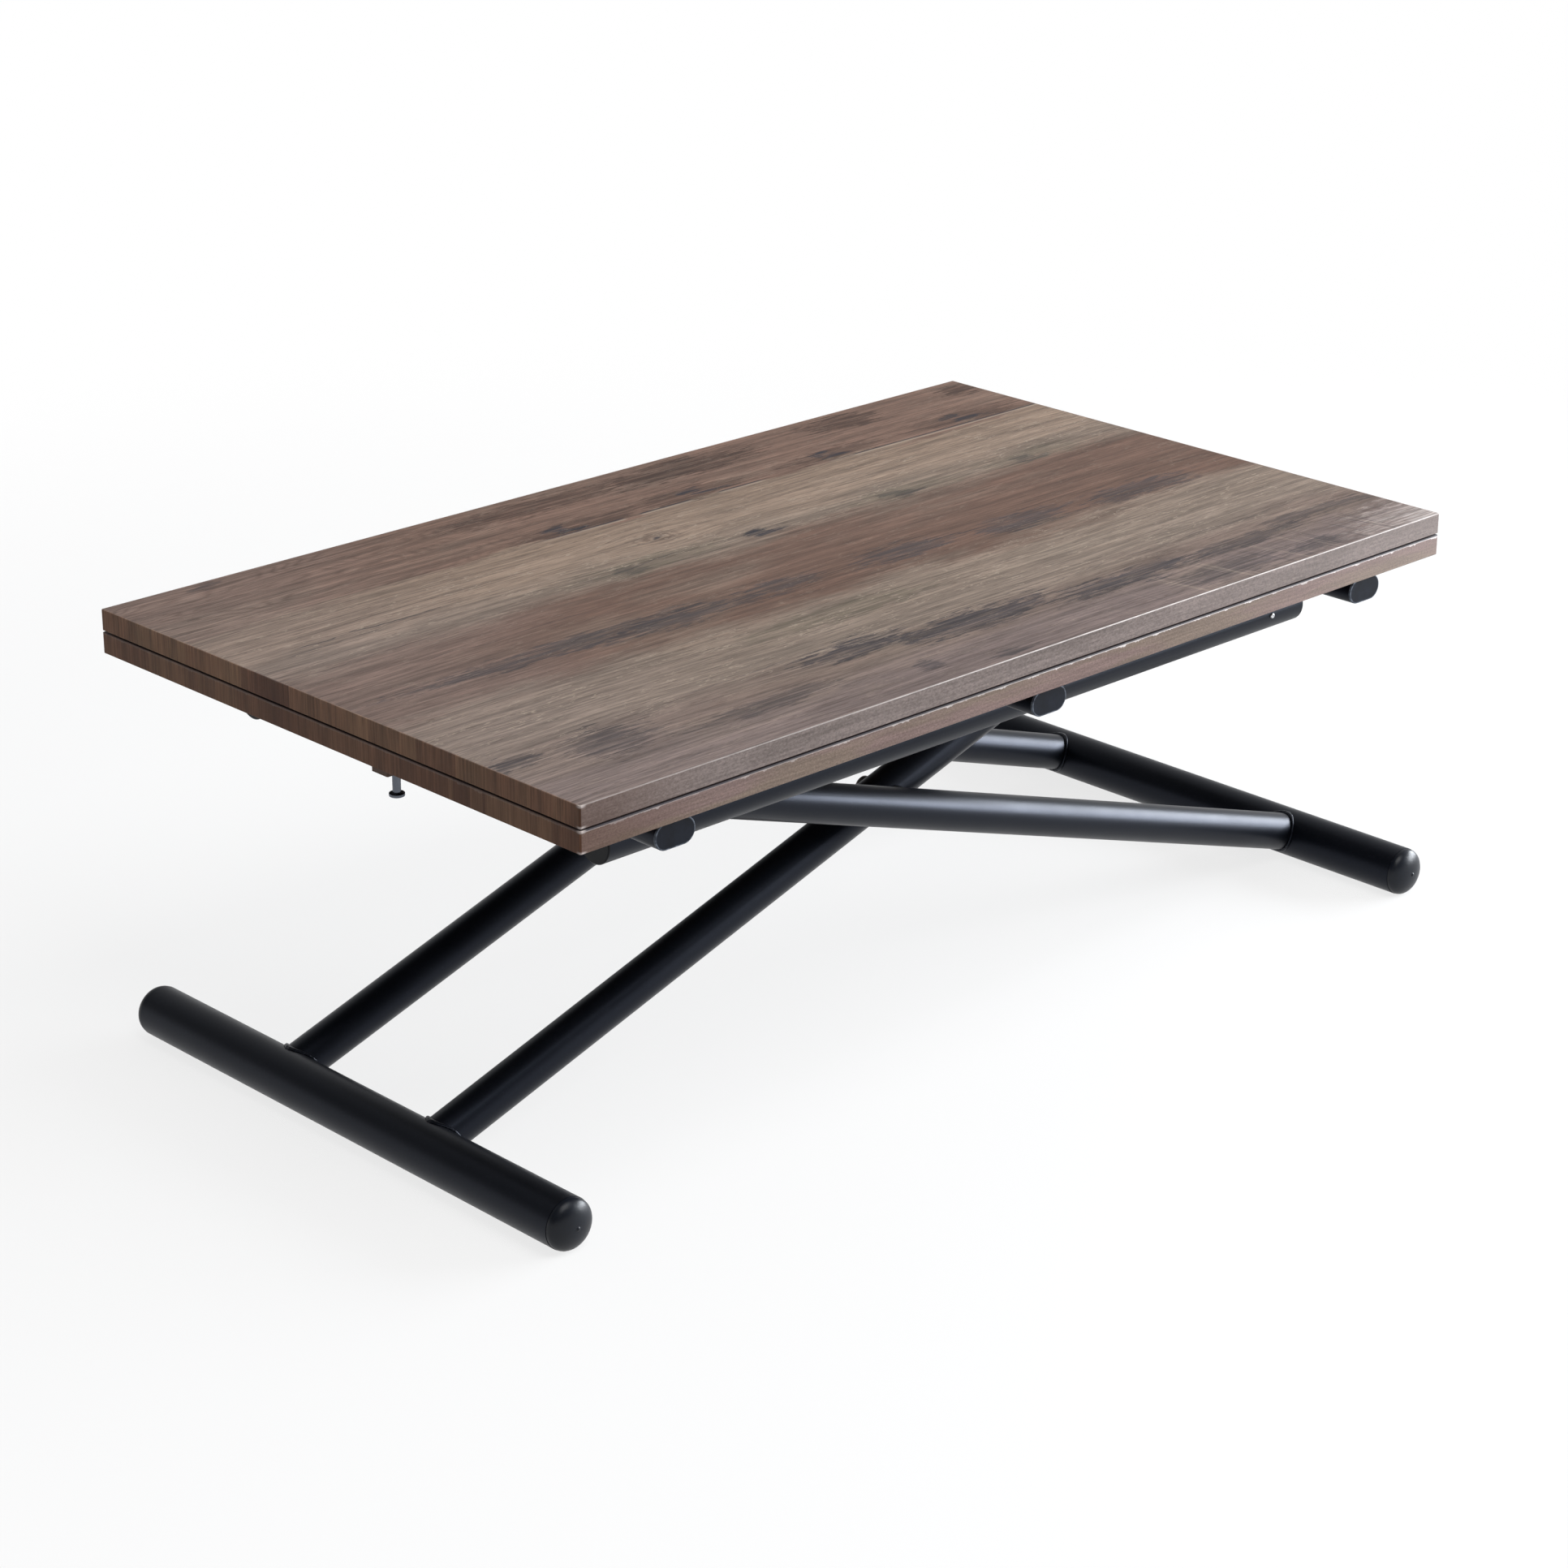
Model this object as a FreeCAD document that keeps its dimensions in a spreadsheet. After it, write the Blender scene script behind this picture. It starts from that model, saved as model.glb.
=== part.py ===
import FreeCAD, Part
import math
import os
import re
import Sketcher

# Convertible coffee and dining table: a scissor base under a sliding top of two hinged leaves.
# Frame: X along the table, Y across it, Z up. The origin is on the floor, midway between the feet.
# Lengths are in millimetres and angles in degrees.
SIZES = {
    "table_height": 410.0,
    "top_offset": 12.0,
    "leaf_length": 1100.0,
    "leaf_width": 650.0,
    "leaf_thickness": 20.0,
    "leaf_gap": 1.6,
    "edging_thickness": 1.2,
    "edging_corner": 1.6,
    "edging_arris": 0.7,
    "glide_gap": 0.6,
    "bar_height": 24.0,
    "bar_width": 44.0,
    "bar_wall": 2.0,
    "bar_inset": 7.0,
    "bar_spacing": 445.0,
    "bar_cap_thickness": 2.0,
    "bar_cap_plug": 10.0,
    "bar_cap_rounding": 0.7,
    "rail_diameter": 38.0,
    "rail_wall": 2.0,
    "rail_length": 893.0,
    "rail_lead": 8.5,
    "rail_offset": 233.0,
    "rail_cap_thickness": 2.0,
    "rail_cap_plug": 8.0,
    "foot_diameter": 48.0,
    "foot_wall": 2.0,
    "foot_length": 572.0,
    "outer_foot_extra": 28.0,
    "foot_cap_lip": 1.5,
    "foot_cap_step": 0.4,
    "foot_cap_dome": 12.5,
    "foot_cap_nub": 5.0,
    "foot_cap_nub_height": 1.0,
    "foot_cap_plug": 18.0,
    "stance_half": 550.0,
    "pivot_half": 380.0,
    "lift_drop": 10.8,
    "lift_rise": 23.8,
    "leg_diameter": 38.0,
    "leg_wall": 2.0,
    "leg_overrun": 14.0,
    "leg_plug_flange": 2.0,
    "leg_plug_depth": 3.0,
    "inner_leg_offset": 100.0,
    "outer_leg_offset": 156.0,
    "foot_weld_leg": 2.2,
    "weld_leg": 3.0,
    "weld_reach": 9.0,
    "weld_width": 19.0,
    "axle_diameter": 16.0,
    "bush_wall": 2.0,
    "bush_lip": 0.6,
    "cross_pin_diameter": 12.0,
    "cross_pin_chamfer": 1.0,
    "cross_pin_gap": 1.0,
    "cross_spacer_diameter": 26.0,
    "cross_washer_diameter": 22.0,
    "cross_washer_thickness": 2.0,
    "axle_screw_head": 5.0,
    "axle_screw_head_height": 1.6,
    "axle_screw_shank": 3.0,
    "slider_length": 46.0,
    "slider_reach": 12.0,
    "glide_neck": 8.0,
    "glide_flange": 22.0,
    "glide_head": 15.0,
    "glide_head_height": 4.0,
    "glide_rear_margin": 28.0,
    "glide_front_margin": 21.0,
    "bumper_diameter": 10.0,
    "bumper_inset": 40.0,
    "hinge_length": 60.0,
    "hinge_plate_width": 26.0,
    "hinge_plate_thickness": 1.5,
    "hinge_knuckle": 5.0,
    "hinge_pin": 2.6,
    "hinge_outset": 0.5,
    "hinge_spacing": 400.0,
    "strut_diameter": 22.0,
    "strut_wall": 2.0,
    "strut_length": 262.0,
    "strut_nose": 6.0,
    "strut_rod": 8.0,
    "strut_piston": 8.0,
    "strut_axle_gap": 2.0,
    "strut_engagement": 9.0,
    "carriage_ahead": 14.0,
    "carriage_behind": 12.0,
    "carriage_width": 32.0,
    "carriage_cover": 4.0,
    "carriage_rounding": 3.0,
    "bracket_plate": 3.0,
    "bracket_web_x": 17.0,
    "bracket_web_drop": 41.0,
    "bracket_cheek_length": 32.0,
    "bracket_cheek_drop": 22.0,
    "nut_across_corners": 15.0,
    "nut_thickness": 6.0,
    "rod_tip": 1.5,
    "lever_width": 22.0,
    "lever_pivot_x": 1.0,
    "lever_pivot_drop": 11.8,
    "lever_pin": 6.0,
    "lever_plate": 4.0,
    "lever_reach": 51.0,
    "lever_arm_drop": 2.6,
    "lever_hub": 7.0,
    "lever_toe": 25.0,
    "lever_toe_thickness": 4.0,
    "lever_rounding": 1.5,
    "knob_reach": 36.0,
    "knob_side": 4.0,
    "knob_stem": 7.5,
    "knob_length": 22.8,
    "knob_flange": 14.2,
    "knob_flange_thickness": 3.2,
    "knob_rounding": 0.9,
    "fit_clearance": 0.05,
    "running_clearance": 0.3,
}

# Places and sizes that follow from the driving ones.
DERIVED = {
    "top_x": "-top_offset",
    "foot_z": "foot_diameter / 2",
    "foot_bore": "foot_diameter - 2 * foot_wall",
    "foot_cap_diameter": "foot_diameter - 2 * foot_cap_step",
    "outer_foot_length": "foot_length + outer_foot_extra",
    "rail_z": "table_height - 2 * leaf_thickness - leaf_gap - glide_gap - bar_height - rail_diameter / 2",
    "rail_bore": "rail_diameter - 2 * rail_wall",
    "rail_x": "top_x - rail_lead",
    "bar_base": "rail_z + rail_diameter / 2",
    "bar_mid": "bar_base + bar_height / 2",
    "bar_top": "bar_base + bar_height",
    "bar_length": "leaf_width - 2 * bar_inset",
    "bar_left_x": "top_x - bar_spacing",
    "bar_right_x": "top_x + bar_spacing",
    "leaf_base": "bar_top + glide_gap",
    "leaf_top": "leaf_base + leaf_thickness",
    "upper_base": "leaf_top + leaf_gap",
    "rise": "atan((rail_z - foot_z) / (stance_half + pivot_half))",
    "lower_arm": "stance_half / cos(rise)",
    "upper_arm": "pivot_half / cos(rise)",
    "cross_z": "foot_z + stance_half * tan(rise)",
    "leg_length": "lower_arm + upper_arm + leg_overrun",
    "leg_bore": "leg_diameter - 2 * leg_wall",
    "bush_diameter": "axle_diameter + 2 * bush_wall",
    "cross_bush_diameter": "cross_pin_diameter + 2 * bush_wall",
    "slider_low_x": "pivot_half - 2 * upper_arm * cos(rise - lift_drop * 1 deg)",
    "slider_high_x": "pivot_half - 2 * upper_arm * cos(rise + lift_rise * 1 deg)",
    "slot_half": "axle_diameter / 2 + running_clearance",
    "axle_reach": "sqrt(rail_bore * rail_bore - axle_diameter * axle_diameter) / 2",
    "axle_end": "rail_offset + axle_reach - fit_clearance",
    "slide_travel": "leaf_width / 2",
    "glide_run": "bar_length / 2",
    "glide_far": "glide_run - glide_rear_margin",
    "glide_near": "slide_travel - glide_run + glide_front_margin",
    "glide_slot": "glide_neck + 2 * running_clearance",
    "hinge_y": "leaf_width / 2 + hinge_outset",
    "hinge_z": "leaf_top + leaf_gap / 2",
    "hinge_clear_y": "hinge_y - hinge_knuckle / 2 - running_clearance",
    "strut_z": "rail_z - axle_diameter / 2 - strut_axle_gap - strut_rod / 2",
    "strut_bore": "strut_diameter - 2 * strut_wall",
    "web_x": "bar_left_x + bracket_web_x",
    "rod_end_x": "web_x - nut_thickness - rod_tip",
    "rod_tip_x": "slider_high_x + carriage_ahead + strut_nose + strut_piston + strut_engagement",
    "lever_x": "bar_left_x + lever_pivot_x",
    "lever_z": "bar_base - lever_pivot_drop",
}

# Where the hinges sit along the table, and which leaf each knuckle of a hinge belongs to.
HINGES = {
    "left": "(top_x - hinge_spacing)",
    "middle": "(top_x)",
    "right": "(top_x + hinge_spacing)",
}
KNUCKLES = ("lower", "upper", "lower", "upper", "lower")

WORD = re.compile(r"[a-z_]+")

doc = FreeCAD.newDocument("ConvertibleTable")
sheet = doc.addObject("Spreadsheet::Sheet", "Dims")
for row, (alias, size) in enumerate(SIZES.items(), start=1):
    sheet.set(f"A{row}", alias)
    sheet.set(f"B{row}", str(size))
    sheet.setAlias(f"B{row}", alias)
doc.recompute()

nodes = []


def formula(text):
    """Write a size as an expression on the sheet's cells."""

    def swap(match):
        word = match.group(0)
        if word in DERIVED:
            return f"({formula(DERIVED[word])})"
        return f"Dims.{word}" if word in SIZES else word

    return WORD.sub(swap, text)


def bind(item, **sizes):
    """Bind properties of an object to formulas."""
    for name, text in sizes.items():
        item.setExpression(name, formula(text))


def place(item, at, axis=None, angle="0"):
    """Bind an object's place, and its turn about one axis."""
    if axis:
        item.Placement = FreeCAD.Placement(FreeCAD.Vector(), FreeCAD.Rotation(FreeCAD.Vector(*axis), 1))
        item.setExpression("Placement.Rotation.Angle", formula(angle))
    for name, text in zip("xyz", at):
        item.setExpression(f"Placement.Base.{name}", formula(text))


X_AXIS = (1, 0, 0)
Y_AXIS = (0, 1, 0)
TURNS = {
    "+X": (Y_AXIS, "90 deg"),
    "-X": (Y_AXIS, "-90 deg"),
    "+Y": (X_AXIS, "-90 deg"),
    "-Y": (X_AXIS, "90 deg"),
    "-Z": (X_AXIS, "180 deg"),
    "inner leg": (Y_AXIS, "90 deg - rise"),
    "outer leg": (Y_AXIS, "rise - 90 deg"),
}


def aim(item, at, along):
    """Put an object's own Z axis along a named direction, from a point."""
    if along == "+Z":
        place(item, at)
    else:
        place(item, at, *TURNS[along])


def cylinder(name, diameter, length, at, along):
    """Make a round bar from a point, along a named direction."""
    item = doc.addObject("Part::Cylinder", name)
    bind(item, Radius=f"({diameter}) / 2", Height=length)
    aim(item, at, along)
    return item


def across(name, diameter, length, x, y, z):
    """Make a round bar along Y, centred on a point."""
    return cylinder(name, diameter, length, (x, f"{y} - ({length}) / 2", z), "+Y")


def box(name, size, centre_x, centre_y, base_z):
    """Make a block centred in plan on a point, standing on a level."""
    item = doc.addObject("Part::Box", name)
    bind(item, Length=size[0], Width=size[1], Height=size[2])
    place(item, (f"{centre_x} - ({size[0]}) / 2", f"{centre_y} - ({size[1]}) / 2", base_z))
    return item


def fuse(name, items):
    """Join several objects to one."""
    item = doc.addObject("Part::MultiFuse", name)
    item.Shapes = items
    item.Refine = True
    return item


def cut(name, base, tools):
    """Take one or more objects out of a base."""
    item = doc.addObject("Part::Cut", name)
    item.Base = base
    item.Tool = tools[0] if len(tools) == 1 else fuse(f"{name}_tools", tools)
    return item


def mirrored(name, source):
    """Copy an object to the other side of the table's long middle plane."""
    item = doc.addObject("Part::Mirroring", name)
    item.Source = source
    item.Base = FreeCAD.Vector()
    item.Normal = FreeCAD.Vector(*Y_AXIS)
    return item


def tube(name, diameter, bore, length, at, along):
    """Make a round tube from a point, along a named direction."""
    outside = cylinder(f"{name}_outside", diameter, length, at, along)
    inside = cylinder(f"{name}_inside", bore, length, at, along)
    return cut(name, outside, [inside])


def tube_across(name, diameter, bore, length, x, y, z):
    """Make a round tube along Y, centred on a point."""
    return tube(name, diameter, bore, length, (x, f"{y} - ({length}) / 2", z), "+Y")


def node(label, item):
    """Hand in an object as a sub-part."""
    item.Label = label
    nodes.append(item)
    return item


def node_group(label, items):
    """Hand in several separate solids as one sub-part."""
    item = doc.addObject("Part::Compound", f"{label}_set")
    item.Links = items
    return node(label, item)


def node_pair(label, item):
    """Hand in an object and its mirror image as one sub-part."""
    return node_group(label, [item, mirrored(f"{item.Name}_mirror", item)])


def new_sketch(body, role, name):
    """Start a sketch on one of a body's own planes."""
    sketch = body.newObject("Sketcher::SketchObject", name)
    plane = next(item for item in body.Origin.OriginFeatures if item.Role == role)
    sketch.AttachmentSupport = [(plane, "")]
    sketch.MapMode = "FlatFace"
    return sketch


# The points of a sketch's curve, and the sketch's own axes, by the numbers that its rules use.
START, END, CENTRE = range(1, 4)
V_AXIS, H_AXIS = range(-2, 0)
ORIGIN = (H_AXIS, START)


def dimension(sketch, kind, text, *refs):
    """Add a driving dimension bound to a formula."""
    index = sketch.addConstraint(Sketcher.Constraint(kind, *refs, 1.0))
    sketch.setExpression(f"Constraints[{index}]", formula(text))


def outline(sketch, points):
    """Draw a closed outline of straight sides through points given by formulas."""
    count = len(points)
    ring = [FreeCAD.Vector(index + 1, (index + 1) ** 2, 0) for index in range(count)]
    for index in range(count):
        sketch.addGeometry(Part.LineSegment(ring[index], ring[(index + 1) % count]), False)
    for index, (across_text, up_text) in enumerate(points):
        sketch.addConstraint(Sketcher.Constraint("Coincident", index, END, (index + 1) % count, START))
        if across_text == "0":
            sketch.addConstraint(Sketcher.Constraint("PointOnObject", index, START, V_AXIS))
        else:
            dimension(sketch, "DistanceX", across_text, *ORIGIN, index, START)
        if up_text == "0":
            sketch.addConstraint(Sketcher.Constraint("PointOnObject", index, START, H_AXIS))
        else:
            dimension(sketch, "DistanceY", up_text, *ORIGIN, index, START)


def rectangle(sketch, width, height):
    """Draw a rectangle centred on the sketch's origin."""
    half = (f"({width}) / 2", f"({height}) / 2")
    outline(
        sketch,
        [
            (f"-{half[0]}", f"-{half[1]}"),
            (half[0], f"-{half[1]}"),
            half,
            (f"-{half[0]}", half[1]),
        ],
    )


def flat_oval(sketch, width, height):
    """Draw an outline of two straight sides and two round ends, centred on the sketch's origin."""
    first = sketch.GeometryCount
    right, left, top, bottom = range(first, first + 4)
    quarter = math.pi / 2
    rough = SIZES["bar_height"] / 2
    up = FreeCAD.Vector(0, 0, 1)
    ends = (FreeCAD.Vector(rough, 0, 0), FreeCAD.Vector(-rough, 0, 0))
    corners = [FreeCAD.Vector(x, y, 0) for y in (rough, -rough) for x in (rough, -rough)]
    sketch.addGeometry(Part.ArcOfCircle(Part.Circle(ends[0], up, rough), -quarter, quarter), False)
    sketch.addGeometry(Part.ArcOfCircle(Part.Circle(ends[1], up, rough), quarter, 3 * quarter), False)
    sketch.addGeometry(Part.LineSegment(corners[0], corners[1]), False)
    sketch.addGeometry(Part.LineSegment(corners[3], corners[2]), False)
    sketch.addConstraint(Sketcher.Constraint("Tangent", right, END, top, START))
    sketch.addConstraint(Sketcher.Constraint("Tangent", top, END, left, START))
    sketch.addConstraint(Sketcher.Constraint("Tangent", left, END, bottom, START))
    sketch.addConstraint(Sketcher.Constraint("Tangent", bottom, END, right, START))
    sketch.addConstraint(Sketcher.Constraint("Equal", right, left))
    sketch.addConstraint(Sketcher.Constraint("PointOnObject", right, CENTRE, H_AXIS))
    sketch.addConstraint(Sketcher.Constraint("Symmetric", left, CENTRE, right, CENTRE, *ORIGIN))
    dimension(sketch, "Radius", f"({height}) / 2", right)
    dimension(sketch, "DistanceX", f"{width} - ({height})", left, CENTRE, right, CENTRE)


def pad(body, sketch, length, centred=True):
    """Raise a sketch to a solid, on both sides of its plane or on one."""
    feature = body.newObject("PartDesign::Pad", f"{body.Name}_pad")
    feature.Profile = sketch
    if centred:
        feature.SideType = "Symmetric"
    bind(feature, Length=length)
    sketch.Visibility = False
    return feature


def pocket_through(body, sketch):
    """Cut a sketch right through a solid."""
    feature = body.newObject("PartDesign::Pocket", f"{body.Name}_pocket_{len(body.Group)}")
    feature.Profile = sketch
    feature.Type = "ThroughAll"
    feature.SideType = "Symmetric"
    return feature


def round_edges(body, base, radius, wanted):
    """Round the edges of a feature that a test picks."""
    doc.recompute()
    names = [f"Edge{index}" for index, edge in enumerate(base.Shape.Edges, start=1) if wanted(edge)]
    feature = body.newObject("PartDesign::Fillet", f"{body.Name}_rounding_{len(body.Group)}")
    feature.Base = (base, names)
    bind(feature, Radius=radius)
    return feature


def turned(name, profile):
    """Make a body by turning a profile of radius and height about its own Z axis."""
    body = doc.addObject("PartDesign::Body", name)
    sketch = new_sketch(body, "XZ_Plane", f"{name}_profile")
    outline(sketch, profile)
    feature = body.newObject("PartDesign::Revolution", f"{name}_turn")
    feature.Profile = sketch
    feature.ReferenceAxis = (sketch, ["V_Axis"])
    feature.Angle = 360.0
    return body


def is_round(edge):
    """Tell whether an edge is a circle."""
    return isinstance(edge.Curve, Part.Circle)


def is_upright(edge):
    """Tell whether an edge is a straight one along Z."""
    if not isinstance(edge.Curve, Part.Line):
        return False
    run = edge.Curve.Direction
    return abs(run.z) > max(abs(run.x), abs(run.y))


def make_plug(name, diameter, bore, flange, depth):
    """Make a tube's end plug: a flange with a rounded rim and a spigot that fills the bore."""
    return turned(
        name,
        [
            ("0", f"-{depth}"),
            (f"({bore}) / 2", f"-{depth}"),
            (f"({bore}) / 2", "0"),
            (f"({diameter}) / 2", "0"),
            (f"({diameter}) / 2", f"({flange}) / 2"),
            (f"({diameter}) / 2 - ({flange}) / 2", flange),
            ("0", flange),
        ],
    )


def make_foot(side, x, length):
    """Make one floor tube with its two domed end caps."""
    node(
        f"{side}_foot_tube",
        tube_across(f"{side}_foot", "foot_diameter", "foot_bore", length, x, "0", "foot_z"),
    )
    stem = f"{side}_foot_cap"
    seam = f"-{length} / 2"
    spigot = cylinder(
        f"{stem}_spigot", "foot_bore", "foot_cap_plug", (x, f"{seam} + foot_cap_plug", "foot_z"), "-Y"
    )
    lip = cylinder(f"{stem}_lip", "foot_cap_diameter", "foot_cap_lip", (x, seam, "foot_z"), "-Y")
    dome = doc.addObject("Part::Ellipsoid", f"{stem}_dome")
    dome.Angle1 = 0
    bind(dome, Radius1="foot_cap_dome", Radius2="foot_cap_diameter / 2", Radius3="foot_cap_diameter / 2")
    aim(dome, (x, f"{seam} - foot_cap_lip", "foot_z"), "-Y")
    nub = doc.addObject("Part::Sphere", f"{stem}_nub")
    bind(nub, Radius="foot_cap_nub / 2")
    apex = f"{seam} - foot_cap_lip - foot_cap_dome"
    place(nub, (x, f"{apex} - foot_cap_nub_height + foot_cap_nub / 2", "foot_z"))
    node_pair(f"{side}_foot_caps", fuse(stem, [spigot, lip, dome, nub]))


def make_legs(name, along, foot_x, pivot_x, offset, cross_hole):
    """Make a pair of legs with their weld beads, upper bushes and end plugs."""
    side = "left" if along == "inner leg" else "right"
    start = (foot_x, f"-{offset}", "foot_z")
    leg = tube(f"{name}_tube", "leg_diameter", "leg_bore", "leg_length", start, along)
    foot = across(f"{name}_foot_cut", "foot_diameter", "foot_length", foot_x, "0", "foot_z")
    through = "2 * leg_diameter"
    axle_hole = across(f"{name}_axle_hole", "bush_diameter", through, pivot_x, f"-{offset}", "rail_z")
    if along == "inner leg":
        pin_hole = across(f"{name}_pin_hole", cross_hole, through, "0", f"-{offset}", "cross_z")
    else:
        pin_hole = cylinder(f"{name}_pin_hole", cross_hole, through, ("0", f"-{offset}", "cross_z"), "+Y")
    front = cut(f"{name}_front_tube", leg, [foot, axle_hole, pin_hole])
    node(f"{name}_front", front)
    node(f"{name}_rear", mirrored(f"{name}_rear_tube", front))

    bead_foot = across(
        f"{name}_bead_foot", "foot_diameter + 2 * foot_weld_leg", "foot_length", foot_x, "0", "foot_z"
    )
    bead_leg = cylinder(
        f"{name}_bead_leg", "leg_diameter + 2 * foot_weld_leg", "2 * foot_diameter", start, along
    )
    bead = doc.addObject("Part::MultiCommon", f"{name}_bead_block")
    bead.Shapes = [bead_foot, bead_leg]
    leg_core = cylinder(f"{name}_bead_core", "leg_diameter", "2 * foot_diameter", start, along)
    foot_core = across(f"{name}_bead_foot_core", "foot_diameter", "2 * foot_length", foot_x, "0", "foot_z")
    node_pair(f"{side}_foot_welds", cut(f"{name}_bead", bead, [leg_core, foot_core]))

    bush = tube_across(
        f"{name}_bush",
        "bush_diameter",
        "axle_diameter + 2 * fit_clearance",
        "leg_diameter + 2 * bush_lip",
        pivot_x,
        f"-{offset}",
        "rail_z",
    )
    node_pair(f"{name}_axle_bushes", bush)

    plug = make_plug(f"{name}_plug", "leg_diameter", "leg_bore", "leg_plug_flange", "leg_plug_depth")
    reach = "(stance_half + pivot_half + leg_overrun * cos(rise))"
    tip_x = f"{foot_x} + {reach}" if along == "inner leg" else f"{foot_x} - {reach}"
    aim(plug, (tip_x, f"-{offset}", "rail_z + leg_overrun * sin(rise)"), along)
    node_pair(f"{name}_end_plugs", plug)


def make_cross_pivots():
    """Make the two pins on which the leg pairs cross, with bushes, spacers and washers."""
    washer_y = "(inner_leg_offset - leg_diameter / 2 - running_clearance - cross_washer_thickness)"
    pin_start = "(outer_leg_offset + leg_bore / 2 - cross_pin_gap)"
    pin_length = f"{pin_start} - {washer_y} + cross_pin_chamfer"
    pin = turned(
        "cross_pin",
        [
            ("0", "0"),
            ("cross_pin_diameter / 2 - cross_pin_chamfer", "0"),
            ("cross_pin_diameter / 2", "cross_pin_chamfer"),
            ("cross_pin_diameter / 2", f"{pin_length} - cross_pin_chamfer"),
            ("cross_pin_diameter / 2 - cross_pin_chamfer", pin_length),
            ("0", pin_length),
        ],
    )
    aim(pin, ("0", f"-{pin_start}", "cross_z"), "+Y")
    node_pair("cross_pivot_pins", pin)
    bush = tube_across(
        "cross_bush",
        "cross_bush_diameter",
        "cross_pin_diameter + 2 * fit_clearance",
        "leg_diameter",
        "0",
        "-inner_leg_offset",
        "cross_z",
    )
    node_pair("inner_leg_cross_bushes", bush)
    spacer_length = "outer_leg_offset - inner_leg_offset - leg_diameter - running_clearance"
    spacer = tube(
        "cross_spacer",
        "cross_spacer_diameter",
        "cross_pin_diameter",
        spacer_length,
        ("0", "-outer_leg_offset + leg_diameter / 2", "cross_z"),
        "+Y",
    )
    node_pair("cross_pivot_spacers", spacer)
    washer = tube(
        "cross_washer",
        "cross_washer_diameter",
        "cross_pin_diameter",
        "cross_washer_thickness",
        ("0", f"-{washer_y} - cross_washer_thickness", "cross_z"),
        "+Y",
    )
    node_pair("cross_pivot_washers", washer)


def make_rails():
    """Make the two long rails with the fixed axle's holes, the sliders' slots and the end plugs."""
    start = ("rail_x - rail_length / 2", "-rail_offset", "rail_z")
    blank = tube("rail_tube", "rail_diameter", "rail_bore", "rail_length", start, "+X")
    inward = "rail_diameter"
    axle_hole = cylinder(
        "rail_axle_hole",
        "axle_diameter + 2 * fit_clearance",
        inward,
        ("pivot_half", "-rail_offset", "rail_z"),
        "+Y",
    )
    slot_ends = [
        cylinder(f"rail_slot_{name}", "2 * slot_half", inward, (x, "-rail_offset", "rail_z"), "+Y")
        for name, x in (("low", "slider_low_x"), ("high", "slider_high_x"))
    ]
    slot_middle = box(
        "rail_slot_middle",
        ("slider_high_x - slider_low_x", inward, "2 * slot_half"),
        "(slider_high_x + slider_low_x) / 2",
        "-rail_offset + rail_diameter / 2",
        "rail_z - slot_half",
    )
    screw_hole = cylinder(
        "rail_screw_hole", "axle_screw_shank", inward, ("pivot_half", "-rail_offset", "rail_z"), "-Y"
    )
    front = cut("rail_front_tube", blank, [axle_hole, *slot_ends, slot_middle, screw_hole])
    node("rail_front", front)
    node("rail_rear", mirrored("rail_rear_tube", front))

    plugs = []
    for name, sign in (("left", "-"), ("right", "+")):
        plug = make_plug(
            f"rail_plug_{name}", "rail_diameter", "rail_bore", "rail_cap_thickness", "rail_cap_plug"
        )
        aim(plug, (f"rail_x {sign} rail_length / 2", "-rail_offset", "rail_z"), f"{sign}X")
        plugs += [plug, mirrored(f"rail_plug_{name}_mirror", plug)]
    node_group("rail_end_plugs", plugs)


def make_fixed_axle():
    """Make the inner legs' axle, held between the rails by a screw at each end."""
    axle = across("fixed_axle", "axle_diameter", "2 * axle_end", "pivot_half", "0", "rail_z")
    node("fixed_pivot_axle", axle)
    grip = "rail_offset + rail_diameter / 2 - axle_end"
    screw = turned(
        "axle_screw",
        [
            ("0", "0"),
            ("axle_screw_shank / 2", "0"),
            ("axle_screw_shank / 2", grip),
            ("axle_screw_head / 2", grip),
            ("axle_screw_head / 2", f"{grip} + axle_screw_head_height / 2"),
            ("axle_screw_shank / 2", f"{grip} + axle_screw_head_height"),
            ("0", f"{grip} + axle_screw_head_height"),
        ],
    )
    aim(screw, ("pivot_half", "-axle_end", "rail_z"), "-Y")
    node_pair("axle_end_screws", screw)


def make_bar(name, x, slotted):
    """Make one flat-oval cross bar, with a long slot in its top where the glides run."""
    body = doc.addObject("PartDesign::Body", f"{name}_body")
    sketch = new_sketch(body, "XZ_Plane", f"{name}_section")
    flat_oval(sketch, "bar_width", "bar_height")
    flat_oval(sketch, "bar_width - 2 * bar_wall", "bar_height - 2 * bar_wall")
    pad(body, sketch, "bar_length")
    place(body, (x, "0", "bar_mid"))
    if not slotted:
        return node(name, body)
    ends = (("far", "glide_far"), ("near", "glide_near - slide_travel"))
    depth = "2 * bar_wall"
    floor = "bar_top - bar_wall - bar_wall / 2"
    cutters = [
        cylinder(f"{name}_slot_{end}", "glide_slot", depth, (x, y, floor), "+Z") for end, y in ends
    ]
    cutters.append(
        box(
            f"{name}_slot_run",
            ("glide_slot", "glide_far - glide_near + slide_travel", depth),
            x,
            "(glide_far + glide_near - slide_travel) / 2",
            floor,
        )
    )
    return node(name, cut(f"{name}_slotted", body, cutters))


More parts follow.
